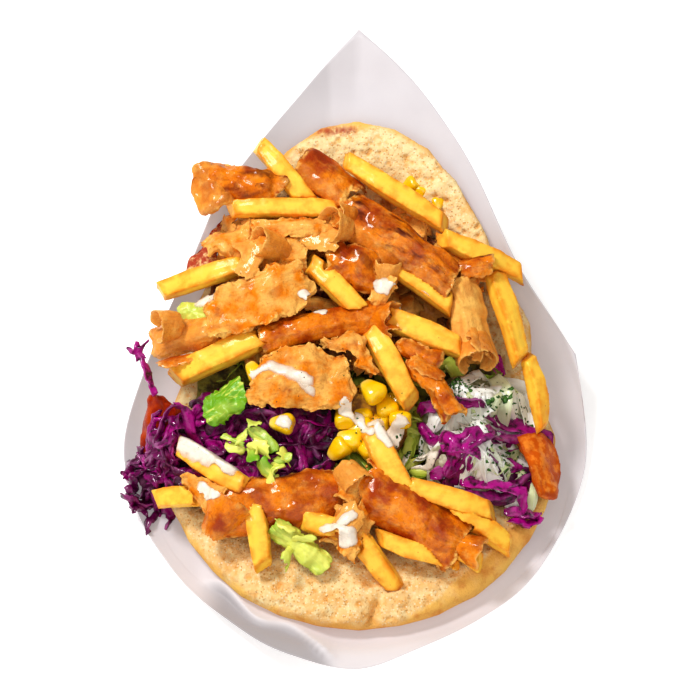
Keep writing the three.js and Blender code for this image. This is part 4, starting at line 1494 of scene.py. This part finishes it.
class DONER_OT_onion(Maker):
    """Make the slivers of onion"""

    bl_idname = "doner.onion"
    bl_label = "Onion"

    def make(self, bakery, filling, salad):
        rng = random.Random(12)
        core = sunk_core("onion_heap", "onion_core", 3.0 * MM, 1.4 * MM, 9)
        dress(
            core,
            bed_finish("Onion shade", paint(120, 120, 84), paint(224, 222, 190)),
            "onion",
            "onion_heap",
        )
        surface = surface_of("onion_heap", "cabbage_right", "flatbread", "serving_paper")
        slivers = Shreds(10, 14)
        for node, count in (("onion_heap", 64), ("cabbage_right", 40)):
            heap = surface_of(node)
            made = 0
            while made < count:
                start = start_on(heap, node, rng)
                heading = math.pi / 2 + rng.gauss(0, 0.7)
                bend = rng.choice((-1, 1)) * rng.uniform(0.2, 1.1)
                line = trail(
                    surface,
                    start,
                    heading,
                    rng.uniform(18, 36) * MM,
                    bend,
                    rng.uniform(-1.5, 1.5) * MM,
                    rng.uniform(0, 2) * MM,
                    14,
                    rng,
                )
                if not keeps_on(heap, line, rng, 0.0):
                    continue
                made += 1
                width = salad.onion_width * rng.uniform(0.45, 1.0)
                slivers.add(
                    line,
                    width,
                    1.2 * MM,
                    rng.uniform(-0.8, 0.8),
                    rng.uniform(-0.8, 0.8),
                    rng.random(),
                    0.6,
                    rng.uniform(-0.22, 0.22),
                )
        # The largest slivers on top, as shares of the heap's box, width in millimetres and tone.
        for corners, width, tone in (
            (((0.30, 0.60), (0.34, 0.84), (0.50, 1.02)), 6.0, 0.2),
            (((0.42, 0.98), (0.68, 1.03), (0.95, 0.98)), 8.0, 0.5),
            (((0.60, 1.0), (0.68, 0.80), (0.66, 0.58)), 13.0, 0.85),
            (((0.86, 0.94), (0.93, 0.77), (0.88, 0.56)), 6.0, 0.3),
            (((0.34, 0.64), (0.42, 0.46), (0.52, 0.26)), 9.0, 0.4),
            (((0.46, 0.26), (0.58, 0.10), (0.76, -0.06)), 9.0, 0.2),
            (((0.78, 0.46), (0.70, 0.30), (0.58, 0.14)), 7.0, 0.95),
            (((0.74, 0.22), (0.86, 0.10), (0.84, -0.06)), 13.0, 0.9),
            (((-0.12, 0.48), (-0.02, 0.40), (0.08, 0.28)), 11.0, 0.1),
            (((0.24, 0.76), (0.30, 0.54), (0.24, 0.36)), 7.0, 0.3),
            (((0.54, 0.56), (0.60, 0.38), (0.50, 0.20)), 8.0, 0.6),
        ):
            corners = [spot("onion_heap", *corner) for corner in corners]
            line = path(surface, corners, 14, 2.2 * MM)
            slivers.add(
                line,
                min(width, 8.5) * MM,
                1.3 * MM,
                rng.uniform(-0.35, 0.35),
                rng.uniform(-0.5, 0.5),
                tone,
                0.5,
                rng.choice((-0.12, 0.12)),
            )
        dress(slivers.piece("onion_slivers"), onion_finish(salad), "onion")


class DONER_OT_lettuce(Maker):
    """Make the larger scraps of lettuce"""

    bl_idname = "doner.lettuce"
    bl_label = "Lettuce leaves"

    def make(self, bakery, filling, salad):
        material = leaf_finish(salad)
        green = {
            # How green, how wide, over how many degrees it curls, and how frilled each leaf is.
            "lettuce_left": (0.3, 0.7, 62, 1.0),
            "lettuce_middle": (1.0, 0.7, 80, 0.7),
            "lettuce_front": (0.34, 0.44, 120, 0.6),
        }
        for number, (node, (tone, width, span, frilled)) in enumerate(green.items()):
            flat = copy_node(node, node + "_plan")
            middle, axes = own_axes(places(flat))
            own = (places(flat) - middle) @ axes
            bpy.data.objects.remove(flat)
            long, wide = np.ptp(own[:, 0]), np.ptp(own[:, 1])
            axis = axes[:, 0] * (1 if axes[0, 0] > 0 else -1)
            up = axes[:, 2] * (1 if axes[2, 2] > 0 else -1)
            heading = math.degrees(math.atan2(axis[1], axis[0]))
            pitch = math.degrees(math.asin(axis[2]))
            level = np.array([-math.sin(math.radians(heading)), math.cos(math.radians(heading)), 0])
            roll = math.degrees(math.asin(np.clip(up @ level, -1, 1)))
            leaf = Curls(70, 50)
            leaf.add(
                middle - up * 1.0 * MM,
                heading,
                pitch,
                roll,
                long / MM * 0.86,
                wide / MM * width,
                span,
                thick=0.5,
                ragged=1.8 * frilled,
                buckle=1.6 * frilled,
                tone=tone,
            )
            leaf = leaf.piece(node + "_leaf")
            points = places(leaf)
            own = (points - middle) @ axes
            far = np.abs(own[:, 1]) / (wide / 2)
            frill = np.sin(own[:, 0] / (1.1 * MM) + 2.5 * lumps(points, 5 * MM, number)) * ease(
                far, 0.25, 1.1
            ) * 1.5
            pucker = lumps(points, 4 * MM, number + 4) * 1.5 + lumps(
                points, 1.8 * MM, number + 5
            ) * 0.5
            put(leaf, points + np.outer((frill + pucker) * frilled * MM, up))
            dress(leaf, material, "lettuce", node)
        rng = random.Random(41)
        for node, number, tones in (
            ("lettuce_corn", 14, (0.0, 0.1, 0.3, 0.7)), ("lettuce_front", 3, (0.0, 0.15))
        ):
            surface = surface_of(node)
            scraps = Curls(22, 16)
            for _ in range(number):
                place = start_on(surface, node, rng) + Vector((0, 0, rng.uniform(-4, 0) * MM))
                scraps.add(
                    place,
                    rng.uniform(0, 360),
                    rng.uniform(-25, 25),
                    rng.uniform(-60, 60),
                    rng.uniform(6, 12),
                    rng.uniform(2.2, 4.2),
                    rng.uniform(60, 130),
                    thick=0.5,
                    ragged=1.5,
                    buckle=2.2,
                    tone=rng.choice(tones),
                )
            dress(
                scraps.piece(node + "_scraps"),
                material,
                "lettuce",
                *([node] if node == "lettuce_corn" else []),
            )


def kernel_stock():
    """One kernel of sweetcorn: a ball drawn in to its root and dimpled at its crown."""
    bpy.ops.object.select_all(action="DESELECT")
    bpy.ops.mesh.primitive_uv_sphere_add(segments=16, ring_count=11, radius=1)
    ball = bpy.context.object
    edit_all(ball, lambda: bpy.ops.transform.resize(value=(0.92, 0.70, 1.1)))
    points, faces = take_apart(ball)
    boxy = np.sign(points) * np.abs(points) ** 0.64
    draw = 1 - 0.4 * ease(-boxy[:, 2], -0.7, 1.0)
    boxy[:, 0] *= draw
    boxy[:, 1] *= draw
    crown = np.exp(-(boxy[:, 0] ** 2 + boxy[:, 1] ** 2) / 0.12) * (boxy[:, 2] > 0)
    boxy[:, 2] -= 0.13 * crown
    return boxy, faces


def turning(angle, first, second):
    """A matrix that turns one axis towards another."""
    matrix = np.eye(3)
    matrix[first, first] = matrix[second, second] = math.cos(angle)
    matrix[first, second], matrix[second, first] = -math.sin(angle), math.sin(angle)
    return matrix


class Kernels(Pile):
    """Kernels of sweetcorn, each laid down on its side."""

    def add(self, place, turn, size, rng):
        """One kernel of this size in millimetres, its crown towards `turn` degrees."""
        tilt, turn = math.radians(rng.uniform(50, 95)), math.radians(turn)
        kernel = self.stock * size * MM * rng.uniform(0.94, 1.06)
        laid = kernel @ turning(tilt, 1, 2).T @ turning(turn, 0, 1).T + np.array(place)
        laid += drift(laid, 4 * MM, 3) * 0.35 * MM
        self.lay(laid, tone=ease(-self.stock[:, 2], 0.3, 1.1))


class DONER_OT_corn(Maker):
    """Make the kernels of sweetcorn"""

    bl_idname = "doner.corn"
    bl_label = "Sweetcorn"

    def make(self, bakery, filling, salad):
        rng = random.Random(5)
        core = sunk_core("corn_heap", "corn_core", 4.0 * MM, 1.4 * MM, 2)
        dress(
            core,
            bed_finish("Corn shade", paint(120, 76, 8), paint(206, 150, 30)),
            "corn",
            "corn_heap",
        )
        stock = kernel_stock()
        surface = surface_of("corn_heap", "salad_bed", "flatbread")
        # Shares of the heap's box, a lift and a heading for each kernel.
        heap = [
            (0.40, 1.02, 2.0, 30), (0.50, 0.86, 2.6, 40), (0.69, 0.74, 3.0, 20), (
                0.88, 0.55, 3.2, 0
            ),
            (0.20, 0.27, 3.0, 80), (0.34, 0.43, 3.4, 100), (0.12, 0.58, 3.0, 10), (
                0.42, 0.15, 2.4, 60
            ),
            (0.05, 0.12, 1.6, 120), (0.60, 0.56, 0.6, 70), (0.36, 0.70, 0.4, 10), (
                0.80, 0.95, 0.4, 90
            ),
        ]
        low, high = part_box("corn_heap")
        kernels = Kernels(*stock)
        for across, along, lift, turn in heap:
            place = spot("corn_heap", across, along)
            height = max(under(surface, place.x, place.y) or high.z - 6 * MM, low.z + 5 * MM)
            place.z = height + (lift - 0.8) * MM
            kernels.add(place, turn, 5.7, rng)
        crumbs = surface_of("flatbread")
        for across, along, size in ((0.63, 0.872, 4.6), (0.655, 0.855, 3.6), (0.70, 0.83, 3.4)):
            place = spot("flatbread", across, along)
            place.z = under(crumbs, place.x, place.y) - 1.3 * MM
            kernels.add(place, rng.uniform(0, 180), size, rng)
        material = corn_finish(salad)
        dress(kernels.piece("sweetcorn_kernels"), material, "corn")
        for node, turn, size in (("corn_single_left", 30, 4.6), ("corn_single_front", 80, 5.6)):
            low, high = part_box(node)
            single = Kernels(*stock)
            single.add((low + high) / 2, turn, size, rng)
            name = node.replace("corn_single", "sweetcorn_kernel")
            dress(single.piece(name), material, "corn", node)


class DONER_OT_tomato(Maker):
    """Make the two slices of tomato"""

    bl_idname = "doner.tomato"
    bl_label = "Tomato"

    def make(self, bakery, filling, salad):
        material = tomato_finish(salad)
        for number, node in enumerate(("tomato_left", "tomato_right")):
            slice_ = copy_node(node, node + "_slice")
            line = sharp_line(slice_, math.radians(50))
            refine(slice_, 0.8 * MM, 5)
            points, out = places(slice_), facings(slice_)
            if node == "tomato_right":
                low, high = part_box(node)
                forward = (high.y - points[:, 1]) / (high.y - low.y)
                points[:, 0] -= (points[:, 0] - low.x - 0.45 * (high.x - low.x)) * 0.6 * ease(
                    forward, 0.3, 1.05
                )
            edge = closeness(slice_, line, 3 * MM)
            ridge = lumps(points, 6 * MM, number) * 1.0 + lumps(points, 2.6 * MM, number + 5) * 0.35
            put(
                slice_,
                points + out * (ridge * MM)[:, None] + drift(points, 9 * MM, number + 8) * 1.4 * MM,
            )
            smooth(slice_)
            mark(slice_, "edge", edge * 0.6)
            mark(
                slice_,
                "unripe",
                np.full(len(points), 0.8 if node == "tomato_right" else 0.0) * (
                    0.7 + 0.3 * lumps(points, 8 * MM, 3)
                ),
            )
            dress(slice_, material, "tomato", node)


# Strokes of sauce: the node they lie on, where they start and end as shares of its box,
# and their half width and thickness in millimetres.
STROKES = [
    ("meat_slab_mid", (0.02, 0.50), (0.24, 0.62), 2.6, 0.5),
    ("meat_slab_mid", (0.22, 0.60), (0.56, 0.38), 3.4, 0.8),
    ("meat_slab_mid", (0.44, 0.44), (0.58, 0.28), 2.4, 0.6),
    ("chip_sauced", (0.16, 0.74), (0.52, 0.52), 6.0, 2.0),
    ("chip_sauced", (0.50, 0.56), (0.72, 0.36), 4.6, 1.6),
    ("meat_strip_sauced", (0.40, 0.62), (0.62, 0.40), 3.2, 1.1),
    ("chip_front_top", (0.25, 0.88), (0.50, 0.66), 4.0, 1.3),
    ("corn_single_front", (0.50, 0.40), (0.72, 0.30), 3.6, 1.2),
    ("corn_heap", (0.14, 0.60), (0.32, 0.52), 3.6, 1.2),
    ("corn_heap", (0.30, 0.52), (0.46, 0.24), 2.6, 1.0),
    ("corn_heap", (0.86, 0.30), (1.16, 0.08), 6.2, 2.4),
    ("corn_heap", (1.00, 0.10), (1.26, -0.02), 5.0, 2.2),
    ("flatbread", (0.43, 0.155), (0.475, 0.14), 4.6, 2.2),
    ("flatbread", (0.455, 0.165), (0.48, 0.175), 3.4, 1.8),
    ("meat_scrap", (0.40, 0.50), (0.90, 0.30), 3.4, 1.0),
    ("meat_scrap", (1.10, 0.20), (1.60, 0.00), 4.0, 1.6),
    ("lettuce_left", (0.66, 0.62), (0.92, 0.84), 4.6, 1.6),
    ("meat_leaf", (0.84, 0.56), (0.99, 0.40), 3.0, 1.0),
]


class DONER_OT_sauce(Maker):
    """Spoon the yoghurt sauce over the filling"""

    bl_idname = "doner.sauce"
    bl_label = "Yoghurt sauce"

    def make(self, bakery, filling, salad):
        bpy.context.view_layer.update()
        view = bpy.context.evaluated_depsgraph_get()
        cell = 0.6 * MM
        points, faces, thin = [], [], []
        for number, (node, begin, end, half, depth) in enumerate(STROKES):
            a, b = spot(node, *begin), spot(node, *end)
            half, depth = half * MM, depth * MM
            low = Vector((min(a.x, b.x), min(a.y, b.y))) - Vector((2 * half, 2 * half))
            high = Vector((max(a.x, b.x), max(a.y, b.y))) + Vector((2 * half, 2 * half))
            across = int((high.x - low.x) / cell) + 1
            down = int((high.y - low.y) / cell) + 1
            xs, ys = np.meshgrid(
                low.x + cell * np.arange(across), low.y + cell * np.arange(down), indexing="ij"
            )
            flat = np.column_stack([xs.ravel(), ys.ravel(), np.zeros(xs.size)])
            run = np.array([b.x - a.x, b.y - a.y])
            share = np.clip(((flat[:, :2] - (a.x, a.y)) @ run) / max(run @ run, 1e-12), 0, 1)
            gap = np.linalg.norm(flat[:, :2] - (a.x, a.y) - share[:, None] * run, axis=1)
            reach = half * (
                1 + 0.3 * lumps(flat, 5 * MM, number) + 0.2 * lumps(flat, 2.4 * MM, number + 3)
            )
            dome = (1 - (gap / reach) ** 2).reshape(xs.shape)
            wet = dome > 0
            height = np.zeros(xs.shape)
            for i, j in np.argwhere(wet):
                found, where, *_ = bpy.context.scene.ray_cast(
                    view, Vector((xs[i, j], ys[i, j], ABOVE)), DOWN
                )
                height[i, j] = where.z if found else -1
            if not wet.any():
                continue
            top = np.percentile(height[wet], 85)
            wet &= height > top - 9 * MM
            draped = height.copy()
            for _ in range(6):
                padded = np.pad(np.where(wet, draped, np.nan), 1, constant_values=np.nan)
                around = np.stack(
                    [
                        padded[:-2, 1:-1],
                        padded[2:, 1:-1],
                        padded[1:-1, :-2],
                        padded[1:-1, 2:],
                        padded[1:-1, 1:-1],
                    ]
                )
                draped = np.where(
                    wet, np.nanmean(np.where(np.isnan(around), draped, around), axis=0), draped
                )
            draped = np.maximum(draped, height - 0.2 * MM) + depth * np.clip(dome, 0, 1) - 0.1 * MM
            numbers = -np.ones(xs.shape, int)
            for i, j in np.argwhere(wet):
                numbers[i, j] = len(points)
                points.append((xs[i, j], ys[i, j], draped[i, j]))
                thin.append(1 - min(1, max(0, dome[i, j]) * (0.9 if depth < 1 * MM else 1.5)))
            for i, j in np.argwhere(wet[:-1, :-1]):
                square = [
                    numbers[i, j], numbers[i + 1, j], numbers[i + 1, j + 1], numbers[i, j + 1]
                ]
                if min(square) >= 0:
                    faces.append(square)
        obj = new_piece("yoghurt_sauce", points, faces)
        mark(obj, "thin", thin)
        edit_all(obj, bpy.ops.mesh.delete_loose)
        modify(obj, "SMOOTH", factor=0.5, iterations=3)
        modify(obj, "SOLIDIFY", thickness=0.4 * MM, offset=-1)
        smooth(obj)
        dress(obj, sauce_finish(salad), None)


class DONER_OT_herbs(Maker):
    """Scatter the chopped parsley and the crushed pepper"""

    bl_idname = "doner.herbs"
    bl_label = "Herbs"

    def make(self, bakery, filling, salad):
        bpy.context.view_layer.update()
        view = bpy.context.evaluated_depsgraph_get()
        rng = random.Random(33)
        flakes, flake_faces = [], []
        grains, grain_faces = [], []

        def land(x, y, hosts):
            found, where, normal, _, host, _ = bpy.context.scene.ray_cast(
                view, Vector((x, y, ABOVE)), DOWN
            )
            return (where, normal) if found and (
                hosts is None or host.name in hosts
            ) else (None, None)

        def scatter(node, count, size, store, store_faces, ragged, hosts=None, near=None):
            low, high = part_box(node)
            for _ in range(count):
                x = rng.uniform(low.x, high.x)
                y = rng.uniform(low.y, high.y)
                if near is not None:
                    x = low.x + (high.x - low.x) * rng.gauss(near[0], near[2])
                    y = low.y + (high.y - low.y) * rng.gauss(near[1], near[2])
                where, normal = land(x, y, hosts)
                if where is None or normal.z < 0.15:
                    continue
                side = normal.cross(
                    Vector((rng.uniform(-1, 1), rng.uniform(-1, 1), 0.1))
                ).normalized()
                other = normal.cross(side)
                long = size * rng.uniform(0.5, 1.3) * MM
                corners = 7 if ragged else 5
                start = len(store)
                store.append(where + normal * 0.45 * MM)
                for k in range(corners):
                    turn = 6.283 * k / corners
                    out = long * (rng.uniform(0.35, 1.1) if ragged else 0.8)
                    narrow = 0.6 if ragged else 0.8
                    store.append(
                        where + side * math.cos(turn) * out + other * math.sin(turn) * out * narrow
                        + normal * rng.uniform(0.05, 0.5 if ragged else 0.15) * MM
                    )
                for k in range(corners):
                    store_faces.append([start, start + 1 + k, start + 1 + (k + 1) % corners])

        onions = ("onion_slivers", "onion_core", "yoghurt_sauce", "cabbage_right_core")
        for across, along, reach, count in (
            (0.24, 0.86, 0.05, 60), (0.30, 0.70, 0.06, 50), (0.92, 0.96, 0.05, 60), (
                0.72, 0.66, 0.10, 60
            ),
            (0.95, 0.62, 0.04, 30), (0.02, 0.40, 0.09, 70), (0.50, 0.40, 0.12, 60), (
                0.78, 0.16, 0.10, 60
            ),
            (0.60, 0.20, 0.12, 40), (0.34, 0.92, 0.07, 50),
        ):
            scatter(
                "onion_heap", count, 1.0, flakes, flake_faces, True, onions, (across, along, reach)
            )
            scatter(
                "onion_heap",
                count // 5,
                2.3,
                flakes,
                flake_faces,
                True,
                onions,
                (across, along, reach),
            )
        scatter("corn_heap", 14, 0.8, flakes, flake_faces, True)
        scatter("onion_heap", 260, 0.32, grains, grain_faces, False, onions)
        scatter("meat_slab_mid", 12, 0.35, grains, grain_faces, False)
        scatter("chip_sauced", 6, 0.3, grains, grain_faces, False)
        for name, points, faces, colour, other, slot in (
            ("chopped_parsley", flakes, flake_faces, salad.parsley, paint(70, 116, 40), "lettuce"),
            ("crushed_pepper", grains, grain_faces, salad.pepper, paint(96, 60, 24), "onion"),
        ):
            obj = new_piece(name, points, faces)
            modify(obj, "SOLIDIFY", thickness=0.25 * MM, offset=-1)
            dress(obj, plain_finish(name.replace("_", " ").title(), colour, other, 2, 0.5), slot)


# The stage, in metres, watts and degrees: each square soft light's place, side and power.
FLOOR_SIDE = 6
LAMPS = {
    "key_light": ((-0.48, 0.3, 0.97), 0.28, 7.6),
    "top_light": ((0.15, -0.35, 1.1), 0.9, 2.6),
    "front_light": ((-0.3, -0.9, 0.5), 0.9, 2.4),
}
LIT_AT = Vector((0, 0, 0.04))
LOOKED_AT = Vector((-0.0023, -0.0179, 0.0348))
LOOK_DOWN = math.radians(60)
CAMERA_AWAY = 0.8
LENS = 89.4
SHIFT = 0.06


class DONER_OT_stage(Maker):
    """Set up the floor, the light and the camera"""

    bl_idname = "doner.stage"
    bl_label = "Stage, light and camera"

    def make(self, bakery, filling, salad):
        bpy.ops.object.select_all(action="DESELECT")
        bpy.ops.mesh.primitive_plane_add(size=FLOOR_SIDE, location=(0, 0, CAD_BOX[0].z))
        floor = bpy.context.object
        floor.name = "studio_floor"
        bpy.ops.object.transform_apply(location=True)
        base = plain_finish("Studio floor", paint(252, 252, 252), paint(250, 250, 250), 60, 0.9)
        shader = base.node_tree.nodes["Principled BSDF"].inputs
        shader["Emission Color"].default_value = (1, 1, 1, 1)
        shader["Emission Strength"].default_value = 0.25
        floor.data.materials.append(base)
        scene = bpy.context.scene
        scene.world = bpy.data.worlds.new("Soft daylight")
        scene.world.use_nodes = True
        sky = scene.world.node_tree.nodes["Background"].inputs
        sky["Color"].default_value = (1, 0.94, 0.86, 1)
        sky["Strength"].default_value = 0.32
        for name, (place, side, power) in LAMPS.items():
            light = bpy.data.lights.new(name, "AREA")
            light.shape, light.size, light.energy = "SQUARE", side, power
            self.aim(bpy.data.objects.new(name, light), Vector(place), LIT_AT - Vector(place))
        camera = bpy.data.objects.new("camera", bpy.data.cameras.new("camera"))
        back = Vector((0, -math.cos(LOOK_DOWN), math.sin(LOOK_DOWN)))
        self.aim(camera, LOOKED_AT + back * CAMERA_AWAY, -back)
        scene.camera = camera
        camera.data.sensor_width, camera.data.lens = 36, LENS
        camera.data.shift_y = SHIFT
        camera.data.clip_start = 0.01
        scene.view_settings.view_transform = "Standard"
        scene.view_settings.look = "Medium High Contrast"

    def aim(self, obj, place, way):
        bpy.context.scene.collection.objects.link(obj)
        obj.location = place
        obj.rotation_euler = way.to_track_quat("-Z", "Y").to_euler()


class DONER_PT_panel(bpy.types.Panel):
    """The sandwich's pieces, in the order they are made"""

    bl_label = "Doner kebab sandwich"
    bl_idname = "DONER_PT_panel"
    bl_space_type = "VIEW_3D"
    bl_region_type = "UI"
    bl_category = "Doner"

    def draw(self, context):
        for maker in MAKERS:
            self.layout.operator(maker.bl_idname)


SETTINGS = {
    "doner_bakery": BakerySettings,
    "doner_filling": FillingSettings,
    "doner_salad": SaladSettings,
}
MAKERS = (
    DONER_OT_paper,
    DONER_OT_bread,
    DONER_OT_beds,
    DONER_OT_lettuce,
    DONER_OT_cabbage,
    DONER_OT_onion,
    DONER_OT_tomato,
    DONER_OT_corn,
    DONER_OT_chips,
    DONER_OT_meat,
    DONER_OT_sauce,
    DONER_OT_herbs,
    DONER_OT_stage,
)


def register():
    for group in (*SETTINGS.values(), *MAKERS, DONER_PT_panel):
        bpy.utils.register_class(group)
    for name, group in SETTINGS.items():
        setattr(bpy.types.Scene, name, PointerProperty(type=group))
    make_groups()


def unregister():
    for name in SETTINGS:
        delattr(bpy.types.Scene, name)
    for group in (DONER_PT_panel, *reversed(MAKERS), *SETTINGS.values()):
        bpy.utils.unregister_class(group)


def main():
    """Makes the whole sandwich."""
    register()
    for maker in MAKERS:
        family, action = maker.bl_idname.split(".")
        getattr(getattr(bpy.ops, family), action)()


if __name__ == "__main__":
    main()
